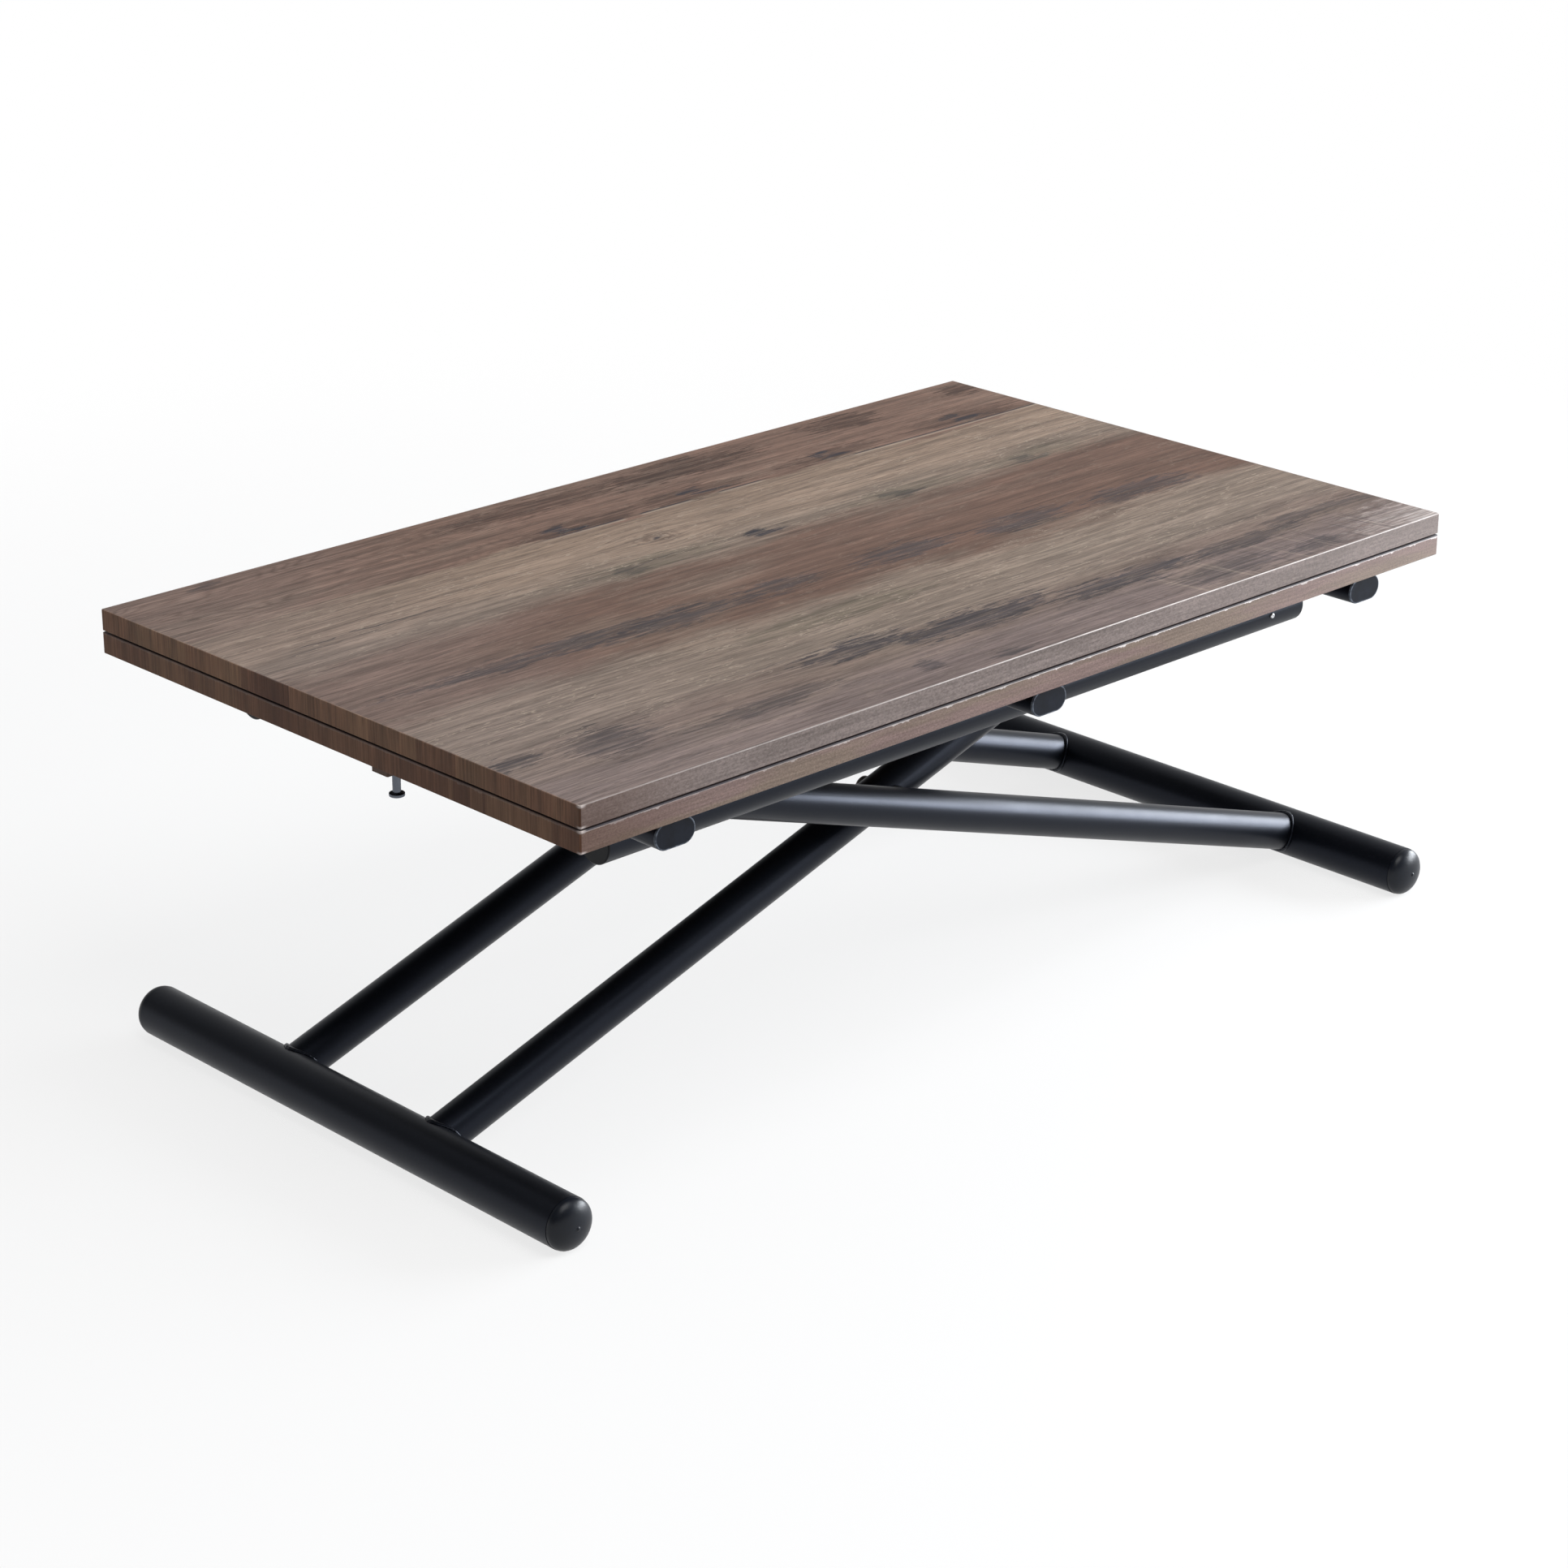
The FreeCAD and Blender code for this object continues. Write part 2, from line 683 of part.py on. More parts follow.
def make_bar_caps():
    """Make the plain oval caps that close the bars' ends."""
    caps = []
    for name, x in (("left", "bar_left_x"), ("middle", "top_x"), ("right", "bar_right_x")):
        body = doc.addObject("PartDesign::Body", f"bar_cap_{name}")
        face = new_sketch(body, "XZ_Plane", f"bar_cap_{name}_face")
        flat_oval(face, "bar_width", "bar_height")
        pad(body, face, "bar_cap_thickness", centred=False)
        plug = new_sketch(body, "XZ_Plane", f"bar_cap_{name}_plug")
        flat_oval(plug, "bar_width - 2 * bar_wall", "bar_height - 2 * bar_wall")
        spigot = body.newObject("PartDesign::Pad", f"bar_cap_{name}_spigot")
        spigot.Profile = plug
        spigot.Reversed = True
        bind(spigot, Length="bar_cap_plug")
        front = -SIZES["bar_cap_thickness"] / 2
        round_edges(body, spigot, "bar_cap_rounding", lambda edge: edge.BoundBox.YMax < front)
        place(body, (x, "-bar_length / 2", "bar_mid"))
        caps += [body, mirrored(f"bar_cap_{name}_mirror", body)]
    node_group("bar_end_caps", caps)


def make_frame_welds():
    """Make the weld beads that fill the corners between the rails' tops and the bars' round sides."""
    beads = []
    flanks = (
        ("left", "bar_left_x", "+"),
        ("middle_left", "top_x", "-"),
        ("middle_right", "top_x", "+"),
        ("right", "bar_right_x", "-"),
    )
    for name, bar_x, sign in flanks:
        flank_x = f"{bar_x} {sign} (bar_width - bar_height) / 2"
        block = box(
            f"frame_bead_{name}",
            ("weld_reach - weld_leg", "weld_width", "2 * weld_leg"),
            f"{flank_x} {sign} (weld_reach + weld_leg) / 2",
            "-rail_offset",
            "bar_base - weld_leg",
        )
        rail = cylinder(
            f"frame_bead_rail_{name}",
            "rail_diameter",
            "rail_length",
            ("rail_x - rail_length / 2", "-rail_offset", "rail_z"),
            "+X",
        )
        side = across(f"frame_bead_side_{name}", "bar_height", "bar_length", flank_x, "0", "bar_mid")
        seated = cut(f"frame_bead_{name}_seated", block, [rail])
        bead = cut(f"frame_bead_{name}_fitted", seated, [side])
        beads += [bead, mirrored(f"frame_bead_{name}_mirror", bead)]
    node_group("frame_welds", beads)


def make_carriage():
    """Make the outer legs' sliding axle, its sliders in the rails and the strut's carriage block."""
    slider_x = "-pivot_half"
    axle_length = "2 * (rail_offset + slider_reach)"
    node("slider_axle", across("sliding_axle", "axle_diameter", axle_length, slider_x, "0", "rail_z"))
    blank = cylinder(
        "slider_blank",
        "rail_bore - 2 * running_clearance",
        "slider_length",
        ("-pivot_half - slider_length / 2", "-rail_offset", "rail_z"),
        "+X",
    )
    bore = across("slider_bore", "axle_diameter", axle_length, slider_x, "0", "rail_z")
    slider = cut("slider_front", blank, [bore])
    node("rail_slider_front", slider)
    node("rail_slider_rear", mirrored("slider_rear", slider))

    base_z = "(strut_z - strut_diameter / 2 - carriage_cover)"
    height = f"rail_z + axle_diameter / 2 + carriage_cover - {base_z}"
    body = doc.addObject("PartDesign::Body", "carriage")
    sketch = new_sketch(body, "XY_Plane", "carriage_plan")
    rectangle(sketch, "carriage_ahead + carriage_behind", "carriage_width")
    block = pad(body, sketch, height, centred=False)
    round_edges(body, block, "carriage_rounding", is_upright)
    place(body, ("-pivot_half + (carriage_ahead - carriage_behind) / 2", "0", base_z))
    axle_bore = across("carriage_axle_bore", "axle_diameter", "2 * carriage_width", slider_x, "0", "rail_z")
    rod_bore = cylinder(
        "carriage_rod_bore",
        "strut_rod + 2 * running_clearance",
        "2 * (carriage_ahead + carriage_behind)",
        ("-pivot_half - carriage_ahead - carriage_behind", "0", "strut_z"),
        "+X",
    )
    node("carriage_block", cut("carriage_bored", body, [axle_bore, rod_bore]))


def make_strut():
    """Make the gas strut: its cylinder on the carriage, and its rod on a bracket under the left bar."""
    nose_x = "-pivot_half + carriage_ahead"
    outside = cylinder("strut_outside", "strut_diameter", "strut_length", (nose_x, "0", "strut_z"), "+X")
    inside = cylinder(
        "strut_inside",
        "strut_bore",
        "strut_length - 2 * strut_nose",
        (f"{nose_x} + strut_nose", "0", "strut_z"),
        "+X",
    )
    mouth = cylinder(
        "strut_mouth",
        "strut_rod + 2 * running_clearance",
        "2 * strut_nose",
        (f"{nose_x} - strut_nose", "0", "strut_z"),
        "+X",
    )
    node("strut_cylinder", cut("strut_shell", outside, [inside, mouth]))

    stem = cylinder("strut_stem", "strut_rod", "rod_tip_x - rod_end_x", ("rod_end_x", "0", "strut_z"), "+X")
    piston = cylinder(
        "strut_piston_disc",
        "strut_bore - 2 * running_clearance",
        "strut_piston",
        ("rod_tip_x - strut_piston", "0", "strut_z"),
        "+X",
    )
    node("strut_rod", fuse("strut_rod_whole", [stem, piston]))

    width = "(lever_width + 2 * running_clearance + 2 * bracket_plate)"
    cheek_left = "(web_x + bracket_plate - bracket_cheek_length)"
    roof = box(
        "bracket_roof",
        ("bracket_cheek_length", width, "bracket_plate"),
        f"{cheek_left} + bracket_cheek_length / 2",
        "0",
        "bar_base - bracket_plate",
    )
    web = box(
        "bracket_web",
        ("bracket_plate", width, "bracket_web_drop"),
        "web_x + bracket_plate / 2",
        "0",
        "bar_base - bracket_web_drop",
    )
    cheeks = [
        box(
            f"bracket_cheek_{side}",
            ("bracket_cheek_length", "bracket_plate", "bracket_cheek_drop"),
            f"{cheek_left} + bracket_cheek_length / 2",
            f"{sign}(lever_width + 2 * running_clearance + bracket_plate) / 2",
            "bar_base - bracket_cheek_drop",
        )
        for side, sign in (("front", "-"), ("rear", ""))
    ]
    folded = fuse("bracket_folded", [roof, web, *cheeks])
    rod_hole = cylinder(
        "bracket_rod_hole",
        "strut_rod",
        "2 * bracket_web_drop",
        ("web_x - bracket_web_drop", "0", "strut_z"),
        "+X",
    )
    pin_hole = across("bracket_pin_hole", "lever_pin", f"2 * {width}", "lever_x", "0", "lever_z")
    node("strut_bracket", cut("bracket_drilled", folded, [rod_hole, pin_hole]))

    nut = doc.addObject("Part::Prism", "rod_nut")
    nut.Polygon = 6
    bind(nut, Circumradius="nut_across_corners / 2", Height="nut_thickness")
    aim(nut, ("web_x - nut_thickness", "0", "strut_z"), "+X")
    thread = cylinder(
        "rod_nut_thread",
        "strut_rod",
        "3 * nut_thickness",
        ("web_x - 2 * nut_thickness", "0", "strut_z"),
        "+X",
    )
    node("strut_rod_nut", cut("rod_nut_drilled", nut, [thread]))


def make_release():
    """Make the release lever on its pin under the left bar, with the chrome pull knob."""
    body = doc.addObject("PartDesign::Body", "lever")
    sketch = new_sketch(body, "XZ_Plane", "lever_profile")
    toe_left = "lever_toe_thickness / 2"
    outline(
        sketch,
        [
            ("-lever_reach", "-lever_arm_drop"),
            ("-lever_hub", "-lever_arm_drop"),
            (f"-{toe_left}", "-lever_hub - lever_toe_thickness"),
            (f"-{toe_left}", "-lever_toe"),
            (toe_left, "-lever_toe"),
            (toe_left, "-lever_hub - lever_toe_thickness / 2"),
            ("lever_hub", "-lever_hub / 2"),
            ("lever_hub", "lever_hub - lever_rounding"),
            ("-lever_hub", "lever_hub - lever_rounding"),
            ("-lever_hub", "-lever_arm_drop + lever_plate"),
            ("-lever_reach", "-lever_arm_drop + lever_plate"),
        ],
    )
    block = pad(body, sketch, "lever_width")
    round_edges(
        body,
        block,
        "lever_rounding",
        lambda edge: is_upright(edge) and edge.CenterOfMass.x < -SIZES["lever_reach"] / 2,
    )
    place(body, ("lever_x", "0", "lever_z"))
    hole = across(
        "lever_hole", "lever_pin + 2 * fit_clearance", "2 * lever_width", "lever_x", "0", "lever_z"
    )
    node("release_lever", cut("lever_drilled", body, [hole]))

    pin_length = "lever_width + 2 * running_clearance + 4 * bracket_plate"
    node("lever_pivot_pin", across("lever_pin_bar", "lever_pin", pin_length, "lever_x", "0", "lever_z"))

    knob = turned(
        "knob",
        [
            ("0", "0"),
            ("knob_stem / 2", "0"),
            ("knob_stem / 2", "knob_length - knob_flange_thickness"),
            ("knob_flange / 2", "knob_length - knob_flange_thickness"),
            ("knob_flange / 2", "knob_length"),
            ("0", "knob_length"),
        ],
    )
    round_edges(
        knob,
        knob.Tip,
        "knob_rounding",
        lambda edge: is_round(edge) and edge.Curve.Radius > (SIZES["knob_stem"] + SIZES["knob_flange"]) / 4,
    )
    aim(knob, ("lever_x - knob_reach", "-knob_side", "lever_z - lever_arm_drop"), "-Z")
    node("release_knob", knob)


def hinge_cutters(name, face_z, inward):
    """Make the blocks that cut the hinges' recesses into a leaf's facing side."""
    cutters = []
    plate_low = f"{face_z} - hinge_plate_thickness" if inward == "down" else face_z
    notch_depth = "(hinge_knuckle / 2 - leaf_gap / 2 + running_clearance)"
    notch_low = f"{face_z} - {notch_depth}" if inward == "down" else face_z
    length = "hinge_length + 2 * running_clearance"
    for hinge, hinge_x in HINGES.items():
        cutters.append(
            box(
                f"{name}_recess_{hinge}",
                (length, "hinge_plate_width", "hinge_plate_thickness"),
                hinge_x,
                "leaf_width / 2 - hinge_plate_width / 2",
                plate_low,
            )
        )
        cutters.append(
            box(
                f"{name}_notch_{hinge}",
                (length, "2 * (hinge_y - hinge_clear_y)", notch_depth),
                hinge_x,
                "hinge_y",
                notch_low,
            )
        )
    return cutters


def make_leaf(name, base_z, face_z, inward):
    """Make one leaf: its board and the edging wrapped around it, recessed for the hinges."""
    board = box(
        f"{name}_blank",
        (
            "leaf_length - 2 * edging_thickness",
            "leaf_width - 2 * edging_thickness",
            "leaf_thickness",
        ),
        "top_x",
        "0",
        base_z,
    )
    recesses = hinge_cutters(f"{name}_board", face_z, inward)
    node(f"{name}_board", cut(f"{name}_recessed", board, recesses))

    body = doc.addObject("PartDesign::Body", f"{name}_band")
    outer = new_sketch(body, "XY_Plane", f"{name}_band_outside")
    rectangle(outer, "leaf_length", "leaf_width")
    block = pad(body, outer, "leaf_thickness", centred=False)
    corners = round_edges(body, block, "edging_corner", is_upright)
    round_edges(body, corners, "edging_arris", lambda edge: not is_upright(edge))
    inner = new_sketch(body, "XY_Plane", f"{name}_band_inside")
    rectangle(inner, "leaf_length - 2 * edging_thickness", "leaf_width - 2 * edging_thickness")
    pocket_through(body, inner)
    place(body, ("top_x", "0", base_z))
    node(
        f"{name}_edging",
        cut(f"{name}_band_recessed", body, hinge_cutters(f"{name}_band", face_z, inward)),
    )


def make_hinge_plates(leaf, face_z, inward):
    """Make one leaf's three hinge plates, each with its share of the knuckles."""
    label = f"{leaf}_hinge_plates"
    pitch = f"(hinge_length / {len(KNUCKLES)})"
    plate_low = f"{face_z} - hinge_plate_thickness" if inward == "down" else face_z
    plates = []
    for hinge, hinge_x in HINGES.items():
        stem = f"{label}_{hinge}"
        depth = "hinge_clear_y - leaf_width / 2 + hinge_plate_width"
        pieces = [
            box(
                f"{stem}_plate",
                ("hinge_length", depth, "hinge_plate_thickness"),
                hinge_x,
                f"hinge_clear_y - ({depth}) / 2",
                plate_low,
            )
        ]
        for knuckle, owner in enumerate(KNUCKLES):
            if owner != leaf:
                continue
            middle = f"{hinge_x} - hinge_length / 2 + ({knuckle} + 1 / 2) * {pitch}"
            width = f"{pitch} - running_clearance"
            pieces.append(
                box(
                    f"{stem}_tab_{knuckle}",
                    (width, "hinge_y - hinge_clear_y", "hinge_plate_thickness"),
                    middle,
                    "(hinge_y + hinge_clear_y) / 2",
                    plate_low,
                )
            )
            pieces.append(
                cylinder(
                    f"{stem}_barrel_{knuckle}",
                    "hinge_knuckle",
                    width,
                    (f"{middle} - ({width}) / 2", "hinge_y", "hinge_z"),
                    "+X",
                )
            )
        bore = cylinder(
            f"{stem}_bore",
            "hinge_pin + 2 * fit_clearance",
            "2 * hinge_length",
            (f"{hinge_x} - hinge_length", "hinge_y", "hinge_z"),
            "+X",
        )
        plates.append(cut(f"{stem}_drilled", fuse(f"{stem}_rolled", pieces), [bore]))
    node_group(label, plates)


def make_top():
    """Make the two leaves, their hinges, the bumpers between them and the glides below."""
    make_leaf("lower_leaf", "leaf_base", "leaf_top", "down")
    make_leaf("upper_leaf", "upper_base", "upper_base", "up")
    make_hinge_plates("lower", "leaf_top", "down")
    make_hinge_plates("upper", "upper_base", "up")
    pins = [
        cylinder(
            f"hinge_pin_{hinge}",
            "hinge_pin",
            "hinge_length",
            (f"{hinge_x} - hinge_length / 2", "hinge_y", "hinge_z"),
            "+X",
        )
        for hinge, hinge_x in HINGES.items()
    ]
    node_group("hinge_pins", pins)

    bumpers = []
    bumper_y = "-leaf_width / 2 + bumper_inset"
    for end, sign in (("left", "-"), ("right", "+")):
        bumper = cylinder(
            f"bumper_{end}",
            "bumper_diameter",
            "leaf_gap - fit_clearance",
            (f"top_x {sign} (leaf_length / 2 - bumper_inset)", bumper_y, "leaf_top"),
            "+Z",
        )
        bumpers += [bumper, mirrored(f"bumper_{end}_mirror", bumper)]
    node_group("leaf_bumpers", bumpers)

    glides = []
    neck_base = "(bar_top - bar_wall - running_clearance)"
    stack = (
        ("flange", "glide_flange", "glide_gap - fit_clearance", "bar_top + fit_clearance"),
        ("neck", "glide_neck", f"leaf_base - {neck_base}", neck_base),
        ("head", "glide_head", "glide_head_height", f"{neck_base} - glide_head_height"),
    )
    for end, x in (("left", "bar_left_x"), ("right", "bar_right_x")):
        for place_name, y in (("near", "glide_near"), ("far", "glide_far")):
            stem = f"glide_{end}_{place_name}"
            discs = [
                cylinder(f"{stem}_{part}", diameter, height, (x, y, low), "+Z")
                for part, diameter, height, low in stack
            ]
            glides.append(fuse(stem, discs))
    node_group("slide_glides", glides)


make_foot("left", "-stance_half", "foot_length")
make_foot("right", "stance_half", "outer_foot_length")
make_legs("inner_leg", "inner leg", "-stance_half", "pivot_half", "inner_leg_offset", "cross_bush_diameter")
make_legs("outer_leg", "outer leg", "stance_half", "-pivot_half", "outer_leg_offset", "cross_pin_diameter")
make_cross_pivots()
make_rails()
make_fixed_axle()
make_bar("cross_bar_left", "bar_left_x", True)
make_bar("cross_bar_middle", "top_x", False)
make_bar("cross_bar_right", "bar_right_x", True)
make_bar_caps()
make_frame_welds()
make_carriage()
make_strut()
make_release()
make_top()
doc.recompute()

faults = [item.Name for item in doc.Objects if "Invalid" in item.State or "Error" in item.State]
faults += [item.Label for item in nodes if item.Shape.isNull() or not item.Shape.isValid()]
if faults:
    raise RuntimeError(f"failed objects: {faults}")

os.makedirs("parts", exist_ok=True)
for item in nodes:
    item.Shape.exportStep(f"parts/{item.Label}.step")
    print(f"{item.Label}: {len(item.Shape.Solids)} solids, {item.Shape.Volume:.0f} mm3")
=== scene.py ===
"""Looks of a convertible coffee and dining table: two hinged leaves on a black scissor base.

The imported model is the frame. This file gives every piece its finish, models the small fasteners and the
weld beads, and sets up the studio. Lengths are in metres, in the frame's own axes.
"""
import logging
import math
from dataclasses import dataclass, field
from enum import Enum
from typing import Callable, Iterable

import bpy
from mathutils import Matrix, Vector


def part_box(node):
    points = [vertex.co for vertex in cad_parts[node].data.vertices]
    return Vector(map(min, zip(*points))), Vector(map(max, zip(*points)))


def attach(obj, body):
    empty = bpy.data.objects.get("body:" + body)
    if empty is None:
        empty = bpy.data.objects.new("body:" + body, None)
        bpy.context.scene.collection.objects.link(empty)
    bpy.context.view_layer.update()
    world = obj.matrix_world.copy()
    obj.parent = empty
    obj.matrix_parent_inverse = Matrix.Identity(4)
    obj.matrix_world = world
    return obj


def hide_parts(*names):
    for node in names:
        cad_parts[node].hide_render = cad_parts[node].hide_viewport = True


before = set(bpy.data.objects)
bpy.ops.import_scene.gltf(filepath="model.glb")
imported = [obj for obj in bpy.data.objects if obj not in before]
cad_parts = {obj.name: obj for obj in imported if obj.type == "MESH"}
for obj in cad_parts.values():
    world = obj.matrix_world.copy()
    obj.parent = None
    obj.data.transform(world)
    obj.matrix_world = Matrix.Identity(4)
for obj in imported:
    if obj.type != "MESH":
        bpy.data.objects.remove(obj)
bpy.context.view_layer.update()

MM = 0.001
# How far a face's normal points along an axis when the face is taken to look along it.
LOOKS_ALONG = 0.9

log = logging.getLogger("table")
Socket = bpy.types.NodeSocket
Feed = float | int | Socket
Colour = tuple[float, float, float, float]
Limits = tuple[float, float]

# The Mix node has sockets of the same names for numbers and for colours. These are the colours' ones.
MIX_UNDER = 6
MIX_OVER = 7
MIX_RESULT = 2


def tone(code: str) -> Colour:
    """Turn a paint code into a linear colour, by the usual curve of a display.

    Args:
        code: six hexadecimal digits of a display colour.

    Returns:
        The colour as red, green, blue and alpha.
    """
    knee, slope, lift, power = 0.04045, 12.92, 0.055, 2.4
    linear = []
    for start in (0, 2, 4):
        share = int(code[start:start + 2], 16) / 255
        curved = ((share + lift) / (1 + lift)) ** power
        linear.append(share / slope if share <= knee else curved)
    return (*linear, 1.0)


@dataclass(frozen=True)
class Grain:
    """One layer of soft noise.

    Attributes:
        waves: how many waves there are to a metre along each axis.
        shift: moves the layer to another stretch of the noise.
        detail: how many finer waves are added.
        rough: how strong the finer waves are.
    """

    waves: tuple[float, float, float]
    shift: float = 0.0
    detail: float = 3.0
    rough: float = 0.55


class Sheet:
    """The node sheet of one material or world, with short methods for the nodes that the finishes use."""

    NOISE_MIDDLE = 0.5
    NOISE_SPAN: Limits = (0.28, 0.72)

    def __init__(self, owner: bpy.types.Material | bpy.types.World, turned: bool = False) -> None:
        """Clear the owner's nodes.

        Args:
            owner: the material or world that the nodes belong to.
            turned: whether its places are turned half round about the upright axis.
        """
        owner.use_nodes = True
        self.owner = owner
        self.tree = owner.node_tree
        self.tree.nodes.clear()
        kind = "Object" if isinstance(owner, bpy.types.Material) else "Generated"
        self.place = self.add("ShaderNodeTexCoord").outputs[kind]
        if turned:
            x, y, z = self.split(self.place)
            self.place = self.join(self.times(x, -1.0), self.times(y, -1.0), z)
        self.x, self.y, self.z = self.split(self.place)

    def add(self, kind: str, **settings: object) -> bpy.types.Node:
        """Add a node.

        Args:
            kind: the node's type.
            settings: its options by name.

        Returns:
            The node.
        """
        node = self.tree.nodes.new(kind)
        for name, setting in settings.items():
            setattr(node, name, setting)
        return node

    def feed(self, socket: Socket, source: object) -> None:
        """Link a socket to another one, or set its own value.

        Args:
            socket: the socket that is fed.
            source: the other socket, or the value.
        """
        if isinstance(source, Socket):
            self.tree.links.new(source, socket)
        else:
            socket.default_value = source

    def calc(
        self, rule: str, first: Feed, second: Feed = 0.0, third: Feed = 0.0, clamp: bool = False
    ) -> Socket:
        """Work out a number.

        Args:
            rule: the name of the sum, as the Math node has it.
            first: the first number.
            second: the second number.
            third: the third number, where the rule takes one.
            clamp: whether the result is kept from 0 to 1.

        Returns:
            The result's socket.
        """
        node = self.add("ShaderNodeMath", operation=rule, use_clamp=clamp)
        for socket, source in zip(node.inputs, (first, second, third)):
            self.feed(socket, source)
        return node.outputs[0]

    def scaled(self, source: Feed, factor: Feed, offset: Feed = 0.0) -> Socket:
        """Multiply a number by a second one and add a third."""
        return self.calc("MULTIPLY_ADD", source, factor, offset)

    def times(self, first: Feed, *others: Feed) -> Feed:
        """Multiply numbers with each other.

        Args:
            first: the first number.
            others: the numbers that it is multiplied by, one after the other.

        Returns:
            The product's socket.
        """
        product = first
        for other in others:
            product = self.calc("MULTIPLY", product, other)
        return product

    def minus(self, first: Feed, second: Feed) -> Socket:
        """Take the second number from the first."""
        return self.calc("SUBTRACT", first, second)

    def apart(self, first: Feed, second: Feed) -> Socket:
        """Give how far two numbers lie apart."""
        return self.calc("ABSOLUTE", self.minus(first, second))

    def distance(self, along: Socket, across: Socket) -> Socket:
        """Give the straight distance that belongs to one along and one across."""
        return self.calc("SQRT", self.scaled(along, along, self.times(across, across)))

    def wave(self, source: Socket, rate: float) -> Socket:
        """Give a wave from 0 to 1 whose phase is a number times a rate."""
        return self.scaled(self.calc("SINE", self.times(source, rate)), 0.5, 0.5)

    def split(self, vector: Socket) -> tuple[Socket, Socket, Socket]:
        """Take a vector apart.

        Args:
            vector: the vector's socket.

        Returns:
            The sockets of its three numbers.
        """
        node = self.add("ShaderNodeSeparateXYZ")
        self.feed(node.inputs[0], vector)
        return node.outputs[0], node.outputs[1], node.outputs[2]

    def join(self, x: Feed, y: Feed, z: Feed = 0.0) -> Socket:
        """Put three numbers together.

        Args:
            x: the first number.
            y: the second number.
            z: the third number.

        Returns:
            The vector's socket.
        """
        node = self.add("ShaderNodeCombineXYZ")
        for socket, source in zip(node.inputs, (x, y, z)):
            self.feed(socket, source)
        return node.outputs[0]

    def noise(self, grain: Grain, seed: float = 0.0, place: Socket | None = None) -> Socket:
        """Give soft noise from 0 to 1.

        Args:
            grain: the layer of noise.
            seed: the finish's own shift, which is added to the layer's.
            place: where on the piece it is read, if not at the sheet's own place.

        Returns:
            The noise's socket.
        """
        shift = seed + grain.shift
        mapping = self.add("ShaderNodeMapping")
        self.feed(mapping.inputs["Vector"], self.place if place is None else place)
        mapping.inputs["Scale"].default_value = grain.waves
        mapping.inputs["Location"].default_value = (shift, shift / 2, shift / 3)
        node = self.add("ShaderNodeTexNoise", noise_dimensions="3D")
        self.feed(node.inputs["Vector"], mapping.outputs[0])
        node.inputs["Scale"].default_value = 1.0
        node.inputs["Detail"].default_value = grain.detail
        node.inputs["Roughness"].default_value = grain.rough
        return node.outputs[0]

    def swing(self, grain: Grain, seed: float = 0.0) -> Socket:
        """Give soft noise that swings to both sides of 0."""
        return self.minus(self.noise(grain, seed), self.NOISE_MIDDLE)

    def chance(self, number: Socket, seed: float) -> Socket:
        """Give a share from 0 to 1 that differs from one whole number to the next.

        Args:
            number: the whole number.
            seed: shifts the shares to other numbers.

        Returns:
            The share's socket.
        """
        node = self.add("ShaderNodeTexWhiteNoise", noise_dimensions="1D")
        self.feed(node.inputs["W"], self.calc("ADD", number, seed))
        return node.outputs["Value"]

    def step(self, source: Feed, limits: Limits, start: float = 0.0, end: float = 1.0) -> Socket:
        """Change smoothly from one value to another.

        Args:
            source: the number that drives the change.
            limits: the numbers between which it passes.
            start: the value below them.
            end: the value above them.

        Returns:
            The value's socket.
        """
        node = self.add("ShaderNodeMapRange", interpolation_type="SMOOTHSTEP")
        names = ("Value", "From Min", "From Max", "To Min", "To Max")
        for name, value in zip(names, (source, *limits, start, end)):
            self.feed(node.inputs[name], value)
        return node.outputs[0]

    def within(self, source: Feed, limits: Limits, soft: float) -> Socket:
        """Give 1 between two limits, and fade to 0 outside them.

        Args:
            source: the number that is tested.
            limits: the two limits.
            soft: half the stretch over which it fades.

        Returns:
            The mask's socket.
        """
        low, high = limits
        rise = self.step(source, (low - soft, low + soft))
        fall = self.step(source, (high - soft, high + soft), 1.0, 0.0)
        return self.times(rise, fall)

    def ramp(self, source: Feed, stops: Iterable[tuple[float, Colour]], smooth: str = "EASE") -> Socket:
        """Turn a number from 0 to 1 into a colour.

        Args:
            source: the number.
            stops: the places of the colours, in rising order.
            smooth: how the colours run into each other.

        Returns:
            The colour's socket.
        """
        node = self.add("ShaderNodeValToRGB")
        node.color_ramp.interpolation = smooth
        marks = node.color_ramp.elements
        given = len(marks)
        for index, (place, colour) in enumerate(stops):
            mark = marks[index] if index < given else marks.new(place)
            mark.position = place
            mark.color = colour
        self.feed(node.inputs[0], source)
        return node.outputs[0]

    def mix(self, share: Feed, under: object, over: object, rule: str = "MIX") -> Socket:
        """Lay one colour over another.

        Args:
            share: how much of the second colour shows.
            under: the first colour.
            over: the second colour.
            rule: how they mix.

        Returns:
            The mixed colour's socket.
        """
        node = self.add("ShaderNodeMix", data_type="RGBA", blend_type=rule)
        self.feed(node.inputs[0], share)
        self.feed(node.inputs[MIX_UNDER], under)
        self.feed(node.inputs[MIX_OVER], over)
        return node.outputs[MIX_RESULT]

    def shade(self, colour: Socket | Colour, source: Socket, depth: float) -> Socket:
        """Darken and lighten a colour by noise about its middle."""
        level = self.step(source, self.NOISE_SPAN, 1.0 - depth, 1.0 + depth)
        return self.mix(1.0, colour, self.join(level, level, level), "MULTIPLY")

